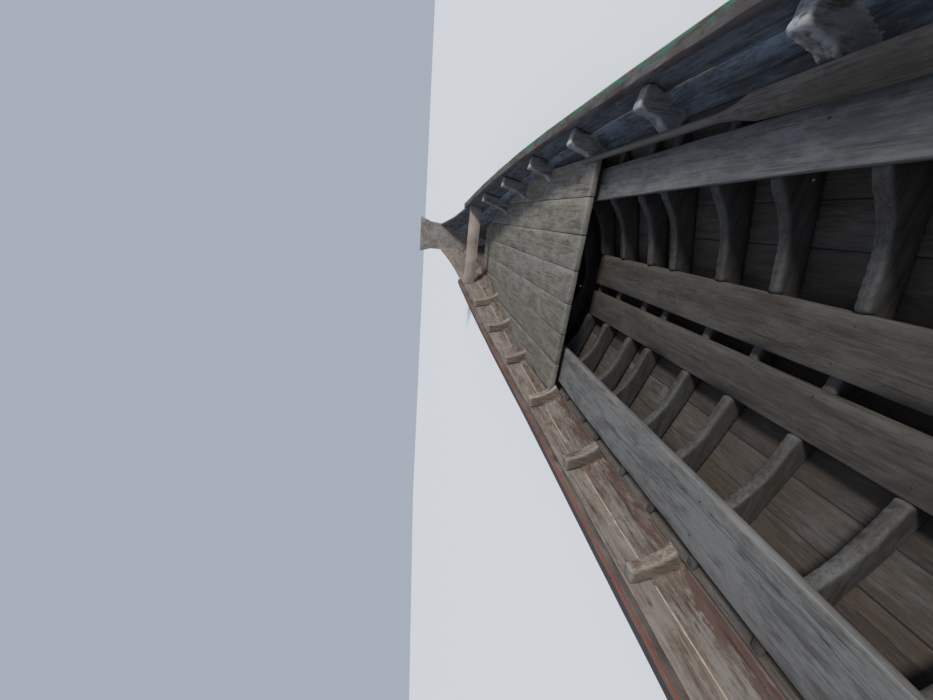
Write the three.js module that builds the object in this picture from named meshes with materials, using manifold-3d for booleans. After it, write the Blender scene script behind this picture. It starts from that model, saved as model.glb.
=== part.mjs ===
// A planked lake boat with a long-shaft outboard drive.
// Millimetres. X runs forward, Y to port, Z up. The origin is at the waterline amidships.
import * as THREE from 'three';
import { mergeVertices } from 'three/addons/utils/BufferGeometryUtils.js';
import Module from 'manifold-3d';

const wasm = await Module();
wasm.setup();

// Driving dimensions
const FIT = 0.3; // gap between pieces that touch
const PLANK = 28; // thickness of the hull planking
const KEEL_PLANK = 40;
const SEAM = 0.4; // open width of a seam between strakes
const STEPS = 2; // sections between two stations of the table

const PROW = { topX: 5560, topZ: 1133, rake: 0.85, thickness: 36 };
const TRANSOM = { x: -5500, rake: 0.12, thickness: 42 };

// Hull lines at the planking's inner face. Columns: x, then y and z of each seam, going up.
// An end row has no x: it lies in the plane of the prow board or of the transom.
const STATIONS = [
  { end: 'transom', centre: [0, -75], keel: [84, -68], garboard: [255, -25], bilge: [450, 70],
    lower: [545, 180], upper: [582, 312], sheer: [602, 450] },
  { x: -4200, centre: [0, -155], keel: [94, -144], garboard: [330, -82], bilge: [592, 14],
    lower: [720, 118], upper: [776, 255], sheer: [797, 385] },
  { x: -2500, centre: [0, -188], keel: [100, -177], garboard: [360, -110], bilge: [664, -16],
    lower: [806, 104], upper: [872, 236], sheer: [895, 350] },
  { x: -1000, centre: [0, -195], keel: [101, -184], garboard: [366, -118], bilge: [678, -24],
    lower: [828, 100], upper: [898, 230], sheer: [922, 338] },
  { x: 0, centre: [0, -195], keel: [100, -184], garboard: [365, -118], bilge: [676, -24],
    lower: [828, 100], upper: [900, 228], sheer: [925, 332] },
  { x: 1000, centre: [0, -192], keel: [98, -181], garboard: [352, -113], bilge: [648, -20],
    lower: [800, 101], upper: [873, 230], sheer: [900, 337] },
  { x: 2000, centre: [0, -177], keel: [93, -166], garboard: [305, -96], bilge: [558, -6],
    lower: [700, 108], upper: [778, 244], sheer: [810, 394] },
  { x: 3000, centre: [0, -130], keel: [80, -120], garboard: [220, -52], bilge: [395, 34],
    lower: [522, 135], upper: [602, 290], sheer: [645, 481] },
  { x: 3500, centre: [0, -87], keel: [66, -78], garboard: [165, -20], bilge: [290, 74],
    lower: [408, 168], upper: [490, 330], sheer: [536, 530] },
  { x: 4000, centre: [0, -32], keel: [52, -24], garboard: [116, 30], bilge: [205, 118],
    lower: [298, 218], upper: [378, 380], sheer: [424, 586] },
  { x: 4550, centre: [0, 42], keel: [40, 50], garboard: [82, 105], bilge: [130, 182],
    lower: [190, 285], upper: [262, 446], sheer: [308, 662] },
  { end: 'prow', centre: [0, 95], keel: [33, 102], garboard: [52, 145], bilge: [76, 215],
    lower: [106, 325], upper: [146, 520], sheer: [184, 790] },
];
const SEAMS = ['keel', 'garboard', 'bilge', 'lower', 'upper', 'sheer'];
const STRAKES = ['garboard', 'bilge_plank', 'lower_side_plank', 'upper_side_plank', 'top_strake'];
const KNEE_STRAKE = 3; // the strake that carries the knees

// Floor frames and knees: x of each, and their sizes
const FRAME = { sided: 40, moulded: 100, top: 105.7, relief: 1.8 };
const FRAMES_AFT = { from: -5062, pitch: 245, count: 20 };
const FRAMES_SEEN = [-162, 112, 349, 641, 814];
const FRAMES_FORE = { from: 1070, pitch: 245, count: 13 };
const KNEE = { sided: 50, foot: 107, belowSheer: 13, relief: 2.5 };
// Columns: height, depth of the knee inboard from the planking
const KNEE_DEPTHS = {
  port: [[106, 100], [150, 92], [211, 86], [280, 84], [340, 84]],
  starboard: [[106, 110], [135, 103], [202, 93], [280, 97], [340, 93]],
};
const KNEES = {
  port: { from: -4467, pitch: 624, count: 13 },
  starboard: { from: -4351, pitch: 622, count: 13 },
};
const KEEL_BUTTS = [-1755, 1210];

// Boards that lie along the boat
const SEAT = { top: 136, thickness: 30 };
// Columns: x, port inner edge, port outer edge, starboard inner edge, starboard outer edge
const SEAT_EDGES = [
  [-3500, 430, 668, -480, -655],
  [-2000, 478, 738, -548, -725],
  [-650, 482, 745, -562, -738],
  [0, 470, 726, -556, -724],
  [620, 455, 716, -538, -706],
  [1290, 434, 686, -512, -680],
];
const FLOOR_BOARD = { bottom: -89, thickness: 28, from: -2700, to: 1330 };
// Columns: name, starboard edge, port edge
const FLOOR_BOARDS = [['floor_board_starboard', -203, -10], ['floor_board_port', 42, 210]];

const DECK = { top: 206, thickness: 35, from: 1144, to: 4150 };
const DECK_SEAMS = [-745, -530, -315, -101, 116, 326, 547, 762];
const DECK_BEAMS = [1340, 2160, 2950, 3700];
const DECK_BEAM = { sided: 60, moulded: 55 };
const BOW_BOARD = { x: 3650, thickness: 32, bottom: 395, top: 541 };

const STERN_DECK = { top: 330, thickness: 32, from: -5180, board: 205, count: 4 };
const STERN_BEAM = { x: -5340, sided: 130, moulded: 95, half: 680 };

// Gunwale rail over the top strake
const RAIL = { inner: 14, outer: 49, height: 42, forwardEnd: 3790 };

// The paddle leans on the starboard knees, its grip on the foredeck
const PADDLE = {
  grip: [1290, -721.2, 224.3], tip: [-370, -749.7, 194.1], shaft: 16, bladeLength: 620,
  bladeWidth: 96, bladeThickness: 14, tilt: THREE.MathUtils.degToRad(-38),
};

// The drive: the swivel stands on the stern beam; the engine, tube and propeller tilt on it
const SWIVEL = { x: -5340, z: 752, armInner: 115, arm: 14, armHalf: 40, pin: 22, sleeve: 36 };
const SHAFT_SLOPE = THREE.MathUtils.degToRad(19);
const SHAFT = { axis: 140, radius: 26, from: -60, to: -3430 };
const PROPELLER = { x: -3490, radius: 145, hub: 30, hubHalf: 45, blades: 3 };
const ENGINE = { from: -40, to: 330, half: 120, bottom: 45, top: 285 };
const CRADLE = { from: -230, to: 400, railInner: 88, railOuter: 110, bottom: 20, tube: 22 };

// Colours and finishes
const paint = (color, roughness = 0.85, metalness = 0) =>
  new THREE.MeshStandardMaterial({ color, roughness, metalness });
const FINISH = {
  bareWood: paint(0x6f6a62),
  darkWood: paint(0x3c352f),
  hullInside: paint(0x54463c),
  hullRail: paint(0x2e3431),
  deckWood: paint(0x7c776c),
  seatWood: paint(0x5c5f63),
  prowWood: paint(0x8a8378),
  paddleWood: paint(0x6b5240),
  steel: paint(0x4a4d50, 0.55, 0.8),
  enginePaint: paint(0x2f5d46, 0.5, 0.2),
  blackSteel: paint(0x222222, 0.6, 0.6),
  tankPaint: paint(0x9c2f26, 0.45, 0.1),
  bronze: paint(0xa67c45, 0.4, 1),
};

const boat = new THREE.Group();

// Solids

function solidOf(geometry) {
  const bare = geometry.clone();
  bare.deleteAttribute('normal');
  bare.deleteAttribute('uv');
  const merged = mergeVertices(bare, 1e-3);
  return new wasm.Manifold(new wasm.Mesh({
    numProp: 3,
    vertProperties: new Float32Array(merged.attributes.position.array),
    triVerts: new Uint32Array(merged.index.array),
  }));
}

function geometryOf(solid) {
  const mesh = solid.getMesh();
  const geometry = new THREE.BufferGeometry();
  geometry.setAttribute('position', new THREE.BufferAttribute(mesh.vertProperties, mesh.numProp));
  geometry.setIndex(new THREE.BufferAttribute(mesh.triVerts, 1));
  geometry.computeVertexNormals();
  return geometry;
}

// The largest body, where a cut has left offcuts.
function largest(solid) {
  return solid.decompose().sort((a, b) => b.volume() - a.volume())[0];
}

function box(x0, x1, y0, y1, z0, z1) {
  const geometry = new THREE.BoxGeometry(x1 - x0, y1 - y0, z1 - z0);
  geometry.translate((x0 + x1) / 2, (y0 + y1) / 2, (z0 + z1) / 2);
  return solidOf(geometry);
}

// A round bar from one point to another; a cone where the second radius differs.
function rod(from, to, radius, sides = 16, endRadius = radius) {
  const a = new THREE.Vector3(...from);
  const b = new THREE.Vector3(...to);
  const along = b.clone().sub(a);
  const geometry = new THREE.CylinderGeometry(endRadius, radius, along.length(), sides);
  geometry.translate(0, along.length() / 2, 0);
  const turn = new THREE.Quaternion().setFromUnitVectors(
    new THREE.Vector3(0, 1, 0), along.normalize());
  geometry.applyQuaternion(turn);
  geometry.translate(a.x, a.y, a.z);
  return solidOf(geometry);
}

// A plate with an outline in the XZ plane, between two heights in y.
function platesXZ(outline, y0, y1) {
  const shape = new THREE.Shape(outline.map(([x, z]) => new THREE.Vector2(x, z)));
  const geometry = new THREE.ExtrudeGeometry(shape, { depth: y1 - y0, bevelEnabled: false });
  geometry.rotateX(Math.PI / 2);
  geometry.translate(0, y1, 0);
  return solidOf(geometry);
}

// A plate with an outline in the XY plane, between two heights in z.
function plateXY(outline, z0, z1) {
  const shape = new THREE.Shape(outline.map(([x, y]) => new THREE.Vector2(x, y)));
  const geometry = new THREE.ExtrudeGeometry(shape, { depth: z1 - z0, bevelEnabled: false });
  geometry.translate(0, 0, z0);
  return solidOf(geometry);
}

// A bar with a round section along a smooth route.
function bentBar(points, radius, sides = 10, steps = 24) {
  const route = new THREE.CatmullRomCurve3(points.map((p) => new THREE.Vector3(...p)));
  const section = new THREE.Shape();
  section.absarc(0, 0, radius, 0, 2 * Math.PI);
  const geometry = new THREE.ExtrudeGeometry(section, {
    steps, curveSegments: sides / 2, extrudePath: route, bevelEnabled: false });
  return solidOf(geometry);
}

// Triangles over an outline that is convex or runs up one edge and back down the other.
function capFaces(count) {
  const faces = [];
  for (let low = 0, high = count - 1; low + 1 < high; low += 1, high -= 1) {
    faces.push([low, low + 1, high]);
    if (low + 1 < high - 1) faces.push([low + 1, high - 1, high]);
  }
  return faces;
}

// A closed body through like outlines that follow each other along X, capped at both ends.
function loft(outlines) {
  const count = outlines[0].length;
  const last = (outlines.length - 1) * count;
  const faces = [];
  for (let i = 0; i < outlines.length - 1; i += 1) {
    for (let j = 0; j < count; j += 1) {
      const k = (j + 1) % count;
      const here = i * count;
      const next = here + count;
      // The closing side is split the other way, so that neighbours share one twisted face.
      if (k) faces.push(here + j, here + k, next + k, here + j, next + k, next + j);
      else faces.push(here + j, here + k, next + j, here + k, next + k, next + j);
    }
  }
  for (const [a, b, c] of capFaces(count)) {
    faces.push(a, c, b);
    faces.push(last + a, last + b, last + c);
  }
  const points = outlines.flat();
  const make = (triangles) => new wasm.Manifold(new wasm.Mesh({
    numProp: 3,
    vertProperties: new Float32Array(points.flatMap((p) => [p.x, p.y, p.z])),
    triVerts: new Uint32Array(triangles),
  }));
  const solid = make(faces);
  if (solid.volume() > 0) return solid;
  return make(faces.map((value, index) => faces[index + [0, 1, -1][index % 3]]));
}

function mirrored(solid) {
  return solid.mirror([0, 1, 0]);
}

function add(name, solid, material, parent = boat) {
  const mesh = new THREE.Mesh(geometryOf(solid), material);
  mesh.name = name;
  parent.add(mesh);
  return mesh;
}

// Hull surface

const endX = {
  prow: (z) => PROW.topX - PROW.rake * (PROW.topZ - z),
  transom: (z) => TRANSOM.x - TRANSOM.rake * z,
};

function stationPoint(station, seam) {
  const [y, z] = station[seam];
  const x = station.end ? endX[station.end](z) : station.x;
  return new THREE.Vector3(x, y, z);
}

// Points of one seam at every section, from the transom to the prow.
function seamLine(seam) {
  const curve = new THREE.CatmullRomCurve3(STATIONS.map((station) => stationPoint(station, seam)));
  return curve.getPoints((STATIONS.length - 1) * STEPS);
}

// The girth of a section: the centre, then each seam with one point between two seams.
function girthOf(section) {
  const curve = new THREE.CatmullRomCurve3(section);
  const points = [section[0]];
  for (let k = 1; k < section.length; k += 1) {
    points.push(section[k]);
    if (k < section.length - 1) points.push(curve.getPoint((k + 0.5) / (section.length - 1)));
  }
  return points;
}

const seamLines = ['centre', ...SEAMS].map(seamLine);
const girths = seamLines[0].map((_, i) => girthOf(seamLines.map((line) => line[i])));

// The outward normal and the upward tangent at one point of a girth, both square to X.
function directions(girth, j) {
  const before = girth[Math.max(j - 1, 0)];
  const after = girth[Math.min(j + 1, girth.length - 1)];
  const along = new THREE.Vector3(0, after.y - before.y, after.z - before.z).normalize();
  return { along, out: new THREE.Vector3(0, along.z, -along.y) };
}

function shifted(girth, j, out, along = 0) {
  const direction = directions(girth, j);
  return girth[j].clone().addScaledVector(direction.out, out)
    .addScaledVector(direction.along, along);
}

// The girth at any x, exactly on the faceted surface's long edges.
function girthAt(x) {
  return girths[0].map((_, j) => {
    const after = Math.max(1, girths.findIndex((girth) => girth[j].x >= x));
    const a = girths[after - 1][j];
    const b = girths[after][j];
    return a.clone().lerp(b, (x - a.x) / (b.x - a.x));
  });
}

// The space between the planes of the transom and the prow board.
const [under, over, aside] = [-600, 1500, 1500];
const span = platesXZ([[endX.transom(under), under], [endX.prow(under), under],
  [endX.prow(over), over], [endX.transom(over), over]], -aside, aside);

function strake(k) {
  const first = 2 * k + 1;
  const body = loft(girths.map((girth) => {
    const edge = [SEAM / 2, 0, -SEAM / 2];
    const inner = edge.map((along, n) => shifted(girth, first + n, 0, along));
    const outer = edge.map((along, n) => shifted(girth, first + n, PLANK, along));
    return [...inner, ...outer.reverse()];
  }));
  return body.intersect(span);
}

function keelPlank() {
  return loft(girths.map((girth) => {
    const edge = girth[1].clone();
    edge.y -= SEAM / 2;
    const centre = girth[0];
    const half = [edge, new THREE.Vector3(edge.x, edge.y, edge.z - KEEL_PLANK)];
    const flip = (p) => new THREE.Vector3(p.x, -p.y, p.z);
    const low = new THREE.Vector3(centre.x, 0, centre.z - KEEL_PLANK);
    return [flip(half[0]), centre, half[0], half[1], low, flip(half[1])];
  }));
}

// Everything inside the planking, drawn in by a small gap.
function hullRoom(gap) {
  const half = loft(girths.map((girth) => {
    const side = girth.slice(1).map((_, n) => shifted(girth, n + 1, -gap));
    const centre = new THREE.Vector3(girth[0].x, -1, girth[0].z + gap);
    const top = new THREE.Vector3(side.at(-1).x, -1, side.at(-1).z);
    return [centre, ...side, top];
  }));
  return half.add(mirrored(half));
}

const room = hullRoom(FIT);
const inHull = (solid) => solid.intersect(room);

// Frames and knees

const flipped = (p) => new THREE.Vector3(p.x, -p.y, p.z);

// Where a line of points first reaches a height.
function crossing(line, z) {
  const j = Math.max(1, line.findIndex((p) => p.z >= z));
  const [a, b] = [line[j - 1], line[j]];
  return a.clone().lerp(b, (z - a.z) / (b.z - a.z));
}

// One face of a floor frame: along the planking and back along the hollow upper edge.
function frameFace(x, kept) {
  const girth = girthAt(x);
  const sole = girth.map((_, j) => shifted(girth, j, -FRAME.relief));
  const upper = girth.map((_, j) => shifted(girth, j, -FRAME.moulded));
  const low = [...kept.map((j) => sole[j]), crossing(sole, FRAME.top)];
  const high = [...kept.map((j) => upper[j]), crossing(upper, FRAME.top)];
  const across = (rail) => [...rail.slice(1).reverse().map(flipped), ...rail];
  return [...across(low), ...across(high).reverse()];
}

function floorFrame(x) {
  const [aft, fore] = [x - FRAME.sided / 2, x + FRAME.sided / 2];
  const girth = girthAt(x);
  const atSeams = girth.map((_, j) => j).filter((j) => j === 0 || j % 2);
  const kept = atSeams.filter((j) => shifted(girth, j, -FRAME.moulded).z < FRAME.top - 8);
  const timber = loft([frameFace(aft, kept), frameFace(fore, kept)]);
  const centre = girth[0].z;
  const footHalf = Math.min(girthAt(fore)[1].y, girth[1].y) - 8;
  return timber.add(box(aft, fore, -footHalf, footHalf, centre - 12, centre + 40));
}

function kneeDepth(z, depths) {
  const above = depths.findIndex(([height]) => height >= z);
  if (above <= 0) return above === 0 ? depths[0][1] : depths.at(-1)[1];
  const [z0, d0] = depths[above - 1];
  const [z1, d1] = depths[above];
  return d0 + (d1 - d0) * (z - z0) / (z1 - z0);
}

// The girth at x at a list of heights.
function girthAtHeights(x, heights) {
  const full = girthAt(x);
  return heights.map((z) => crossing(full, z));
}

// A port-hand knee with its back this far outside the planking's inner face, grown on its
// free sides.
function kneeShape(x, depths, back = -KNEE.relief, grow = 0) {
  const head = girthAt(x).at(-1).z - KNEE.belowSheer;
  const between = depths.map(([z]) => z).filter((z) => z > KNEE.foot + 15 && z < head - 15);
  const heights = [KNEE.foot - grow, ...between, head];
  const half = KNEE.sided / 2 + grow;
  return loft([x - half, x + half].map((at) => {
    const line = girthAtHeights(at, heights);
    const outer = line.map((_, j) => shifted(line, j, back));
    const inner = line.map((p, j) => shifted(line, j, -kneeDepth(p.z, depths) - grow));
    return [...outer, ...inner.reverse()];
  }));
}

// The pad that joins a knee to the strake behind it.
function kneePad(x) {
  const half = KNEE.sided / 2 - 4;
  return loft([x - half, x + half].map((at) => {
    const line = girthAtHeights(at, [150, 215]);
    const outer = line.map((_, j) => shifted(line, j, PLANK / 2));
    const inner = line.map((_, j) => shifted(line, j, -20));
    return [...outer, ...inner.reverse()];
  }));
}

const evenly = ({ from, pitch, count }) => Array.from({ length: count }, (_, n) => from + pitch * n);
const kneeStations = (side) => evenly(KNEES[side]);

// Room for every knee of one side, drawn on the port side.
const kneeRoom = (side) => kneeStations(side)
  .map((x) => kneeShape(x, KNEE_DEPTHS[side], PLANK / 2, FIT))
  .reduce((sum, knee) => sum.add(knee));
const kneesBothSides = kneeRoom('port').add(mirrored(kneeRoom('starboard')));
const clearOfKnees = (solid) => largest(solid.subtract(kneesBothSides));

// Planking

function strakeWithKnees(k, side) {
  if (k !== KNEE_STRAKE) return strake(k);
  return kneeStations(side).reduce(
    (plank, x) => plank.add(kneeShape(x, KNEE_DEPTHS[side])).add(kneePad(x)), strake(k));
}

STRAKES.forEach((name, k) => {
  add(`${name}_port`, strakeWithKnees(k, 'port'), FINISH.hullInside);
  add(`${name}_starboard`, mirrored(strakeWithKnees(k, 'starboard')), FINISH.hullInside);
});

const frameStations = [...evenly(FRAMES_AFT), ...FRAMES_SEEN, ...evenly(FRAMES_FORE)];
const floorRoom = FLOOR_BOARDS.map(([, y0, y1]) => box(FLOOR_BOARD.from - 2, FLOOR_BOARD.to + 2,
  y0 - FIT, y1 + FIT, FLOOR_BOARD.bottom - FIT, FLOOR_BOARD.bottom + 200))
  .reduce((sum, board) => sum.add(board));

const keel = keelPlank().intersect(span);
const keelEnds = [-6000, ...KEEL_BUTTS, 6000];
['aft', 'middle', 'fore'].forEach((place, n) => {
  const from = keelEnds[n] + FIT / 2;
  const to = keelEnds[n + 1] - FIT / 2;
  let piece = keel.intersect(box(from, to, -300, 300, -400, 400));
  for (const x of frameStations.filter((station) => station > from && station < to)) {
    piece = piece.add(floorFrame(x).subtract(floorRoom));
  }
  add(`keel_and_floor_frames_${place}`, piece, FINISH.darkWood);
});

// Ends of the hull

// A board square to the boat's length, leaning with the end plane, from a table of half widths.
function endBoard(halfWidths, xAt, thickness) {
  const rise = halfWidths.map(([z, y]) => [y, z]);
  const outline = [...rise, ...[...rise].reverse().map(([y, z]) => [-y, z])];
  const section = (dx) => outline.map(([y, z]) => new THREE.Vector3(xAt(z) + dx, y, z));
  const [near, far] = thickness > 0 ? [FIT, FIT + thickness] : [-FIT + thickness, -FIT];
  return loft([section(near), section(far)]);
}

// Columns: height, half width
const PROW_WIDTHS = [[58, 36], [100, 64], [145, 82], [215, 106], [325, 137], [520, 177], [790, 214],
  [950, 226], [1133, 297]];
const TRANSOM_WIDTHS = [[-117, 74], [-66, 265], [32, 470], [172, 577], [312, 612], [453, 632]];
add('prow_board', endBoard(PROW_WIDTHS, endX.prow, PROW.thickness), FINISH.prowWood);
add('transom', endBoard(TRANSOM_WIDTHS, endX.transom, -TRANSOM.thickness), FINISH.hullInside);

// Rails over the top strakes
function rail() {
  const last = girths.length - 1;
  const run = girths.filter((girth, i) => i > 0 && i < last && girth.at(-1).x < RAIL.forwardEnd);
  const section = (girth, x = girth.at(-1).x) => {
    const top = girth.at(-1);
    const [y0, y1] = [top.y - RAIL.inner, top.y + RAIL.outer];
    const [z0, z1] = [top.z + FIT + SEAM, top.z + RAIL.height];
    return [[y0, z0], [y1, z0 - 3], [y1, z1 - 8], [y1 - 10, z1], [y0, z1]]
      .map(([y, z]) => new THREE.Vector3(x, y, z));
  };
  const aft = girthAt(TRANSOM.x - TRANSOM.rake * STATIONS[0].sheer[1] + 8);
  const fore = girthAt(RAIL.forwardEnd);
  return loft([section(aft), ...run.map((girth) => section(girth)), section(fore)]);
}
const portRail = rail().subtract(strake(4).add(strake(4).translate([0, 0, FIT])));
add('gunwale_rail_port', largest(portRail), FINISH.hullRail);
add('gunwale_rail_starboard', mirrored(largest(portRail)), FINISH.hullRail);

// Side seats and floor boards
function seatPlank(inner, outer) {
  const edge = (column) => SEAT_EDGES.map((row) => [row[0], row[column]]);
  const outline = [...edge(inner), ...edge(outer).reverse()];
  return plateXY(outline, SEAT.top - SEAT.thickness, SEAT.top);
}
add('side_seat_port', clearOfKnees(inHull(seatPlank(1, 2))), FINISH.seatWood);
add('side_seat_starboard', clearOfKnees(inHull(seatPlank(3, 4))), FINISH.seatWood);
for (const [name, y0, y1] of FLOOR_BOARDS) {
  const board = box(FLOOR_BOARD.from, FLOOR_BOARD.to, y0, y1,
    FLOOR_BOARD.bottom, FLOOR_BOARD.bottom + FLOOR_BOARD.thickness);
  add(name, board, FINISH.bareWood);
}

// Foredeck
DECK_SEAMS.slice(1).forEach((y1, n) => {
  const board = box(DECK.from, DECK.to, DECK_SEAMS[n] + 1.5, y1 - 1.5,
    DECK.top - DECK.thickness, DECK.top);
  add(`foredeck_board_${n + 1}`, clearOfKnees(inHull(board)), FINISH.deckWood);
});
DECK_BEAMS.forEach((x, n) => {
  const top = DECK.top - DECK.thickness - FIT;
  const beam = box(x - DECK_BEAM.sided / 2, x + DECK_BEAM.sided / 2, -800, 800,
    top - DECK_BEAM.moulded, top);
  add(`deck_beam_${n + 1}`, clearOfKnees(inHull(beam)), FINISH.darkWood);
});
const bowBoard = box(BOW_BOARD.x, BOW_BOARD.x + BOW_BOARD.thickness, -600, 600,
  BOW_BOARD.bottom, BOW_BOARD.top);
add('bow_cross_board', inHull(bowBoard), FINISH.prowWood);

// Stern deck and the beam that carries the drive
for (let n = 0; n < STERN_DECK.count; n += 1) {
  const x0 = STERN_DECK.from + n * (STERN_DECK.board + 4);
  const board = box(x0, x0 + STERN_DECK.board, -800, 800,
    STERN_DECK.top - STERN_DECK.thickness, STERN_DECK.top);
  add(`stern_deck_board_${n + 1}`, clearOfKnees(inHull(board)), FINISH.deckWood);
}

const sternRail = Math.max(...[-1, 1].map((side) =>
  girthAt(STERN_BEAM.x + side * STERN_BEAM.sided / 2).at(-1).z)) + RAIL.height;
const beamTop = sternRail + FIT + STERN_BEAM.moulded;
add('stern_beam', box(STERN_BEAM.x - STERN_BEAM.sided / 2, STERN_BEAM.x + STERN_BEAM.sided / 2,
  -STERN_BEAM.half, STERN_BEAM.half, sternRail + FIT, beamTop), FINISH.darkWood);

// Paddle

// A flat bar along X with its edges drawn in, from a table of x, half width, half thickness.
function shapedBar(rows, sides = 10) {
  return loft(rows.map(([x, halfWidth, halfThickness]) =>
    Array.from({ length: sides }, (_, n) => {
      const turn = (2 * Math.PI * (n + 0.5)) / sides;
      return new THREE.Vector3(x, halfWidth * Math.cos(turn), halfThickness * Math.sin(turn));
    })));
}

function paddle() {
  const tip = new THREE.Vector3(...PADDLE.tip);
  const along = new THREE.Vector3(...PADDLE.grip).sub(tip);
  const [blade, r] = [PADDLE.bladeLength, PADDLE.shaft];
  const [wide, thin] = [PADDLE.bladeWidth / 2, PADDLE.bladeThickness / 2];
  const body = shapedBar([[0, wide * 0.7, thin * 0.6], [30, wide * 0.95, thin * 0.8],
    [blade * 0.5, wide, thin], [blade - 60, wide * 0.92, thin * 1.2], [blade, wide * 0.5, r],
    [blade + 60, r, r], [along.length(), r * 0.95, r * 0.95]]);
  const xAxis = along.clone().normalize();
  const yAxis = new THREE.Vector3(0, 0, 1).cross(xAxis).normalize();
  const zAxis = xAxis.clone().cross(yAxis);
  const turn = new THREE.Matrix4().makeBasis(xAxis, yAxis, zAxis)
    .multiply(new THREE.Matrix4().makeRotationX(PADDLE.tilt)).setPosition(tip);
  return body.transform(turn.elements);
}
add('paddle', paddle(), FINISH.paddleWood);

// Drive: swivel

const plateTop = beamTop + FIT + 10;
const pinTop = plateTop + 84;
const swivelPost = box(SWIVEL.x - 60, SWIVEL.x + 60, -90, 90, beamTop + FIT, plateTop)
  .add(rod([SWIVEL.x, 0, plateTop - 1], [SWIVEL.x, 0, pinTop], SWIVEL.pin, 20));
add('swivel_post', swivelPost, FINISH.steel);

function swivelFork() {
  const { x, z, armInner, arm, armHalf, sleeve, pin } = SWIVEL;
  const baseTop = pinTop + 14;
  const tube = rod([x, 0, plateTop + FIT], [x, 0, baseTop - 1], sleeve, 20)
    .subtract(rod([x, 0, plateTop - 5], [x, 0, pinTop + FIT], pin + 1, 20));
  const outer = armInner + arm;
  let fork = tube.add(box(x - armHalf - 22, x + armHalf, -outer, outer, pinTop + 1, baseTop));
  for (const side of [-1, 1]) {
    const [y0, y1] = side > 0 ? [armInner, outer] : [-outer, -armInner];
    const plate = platesXZ([[x - armHalf, baseTop - 1], [x + armHalf, baseTop - 1],
      [x + 24, z + 34], [x - 24, z + 34]], y0, y1);
    fork = fork.add(plate.subtract(rod([x, y0 - 2, z], [x, y1 + 2, z], 13, 20)));
    // Stop under the cradle's rail
    const [s0, s1] = side > 0 ? [90, 108] : [-108, -90];
    fork = fork.add(box(x - 62, x - 46, s0, s1, baseTop - 1, z - 0.9));
  }
  return fork;
}
add('swivel_fork', swivelFork(), FINISH.steel);

// Drive: engine, in a frame with X along the crankshaft and its origin on the tilt axis

const drive = new THREE.Group();
drive.position.set(SWIVEL.x, 0, SWIVEL.z);
drive.rotation.y = -SHAFT_SLOPE;
boat.add(drive);

function cradle() {
  const { from, to, railInner, railOuter, bottom, tube } = CRADLE;
  const top = ENGINE.bottom - FIT;
  let body = rod([0, -SWIVEL.armInner + 2, 0], [0, SWIVEL.armInner - 2, 0], tube, 16)
    .add(rod([0, -SWIVEL.armInner - SWIVEL.arm - 4, 0],
      [0, SWIVEL.armInner + SWIVEL.arm + 4, 0], 12, 16));
  for (const [y0, y1] of [[railInner, railOuter], [-railOuter, -railInner]]) {
    body = body.add(box(from, to, y0, y1, bottom, top));
    body = body.add(box(-18, 18, y0, y1, 0, bottom + 2));
  }
  for (const x of [from, to - 30]) body = body.add(box(x, x + 30, -railOuter, railOuter, bottom, top));
  const saddle = box(from, from + 30, -40, 40, top - 1, SHAFT.axis)
    .subtract(rod([from - 5, 0, SHAFT.axis], [from + 40, 0, SHAFT.axis], SHAFT.radius + FIT, 16));
  return body.add(saddle);
}
add('engine_cradle', cradle(), FINISH.steel, drive);

const { from: engineAft, to: engineFore, half, bottom: sole, top: deckOfBlock } = ENGINE;
add('engine_block', box(engineAft, engineFore, -half, half, sole, deckOfBlock),
  FINISH.enginePaint, drive);

function cylinderHead() {
  const top = deckOfBlock + 110;
  let head = box(30, 200, -85, 85, deckOfBlock + FIT, top);
  for (let z = deckOfBlock + 14; z < top - 10; z += 16) {
    head = head.subtract(box(0, 230, 62, 90, z, z + 8)).subtract(box(0, 230, -90, -62, z, z + 8));
  }
  return head;
}
add('cylinder_head', cylinderHead(), FINISH.blackSteel, drive);
add('flywheel_cover', rod([engineFore + FIT, 0, 176], [engineFore + 68, 0, 176], 112, 24, 98),
  FINISH.enginePaint, drive);
add('air_cleaner', rod([110, 85 + FIT, 346], [110, 112, 346], 26, 16)
  .add(rod([110, 111, 346], [110, 205, 346], 58, 20)), FINISH.blackSteel, drive);
add('exhaust', rod([110, -85 - FIT, 330], [110, -97, 330], 30, 16)
  .add(bentBar([[110, -95, 330], [108, -135, 332], [90, -160, 360], [60, -165, 400]], 17, 10, 8))
  .add(rod([64, -164, 394], [-40, -172, 560], 38, 18)), FINISH.blackSteel, drive);
add('fuel_tank', box(212, 326, -125, 125, 320, 425)
  .add(box(225, 245, -90, -60, deckOfBlock + FIT, 322))
  .add(box(225, 245, 60, 90, deckOfBlock + FIT, 322))
  .add(box(292, 312, -90, -60, deckOfBlock + FIT, 322))
  .add(box(292, 312, 60, 90, deckOfBlock + FIT, 322))
  .add(rod([269, 60, 424], [269, 60, 440], 28, 16)), FINISH.tankPaint, drive);
add('tiller', rod([CRADLE.to + FIT, 0, 32], [CRADLE.to + 12, 0, 32], 30, 12)
  .add(bentBar([[CRADLE.to + 10, 0, 32], [560, 8, 30], [900, 45, 60], [1320, 70, 110]], 15, 10, 12)),
FINISH.steel, drive);

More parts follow.
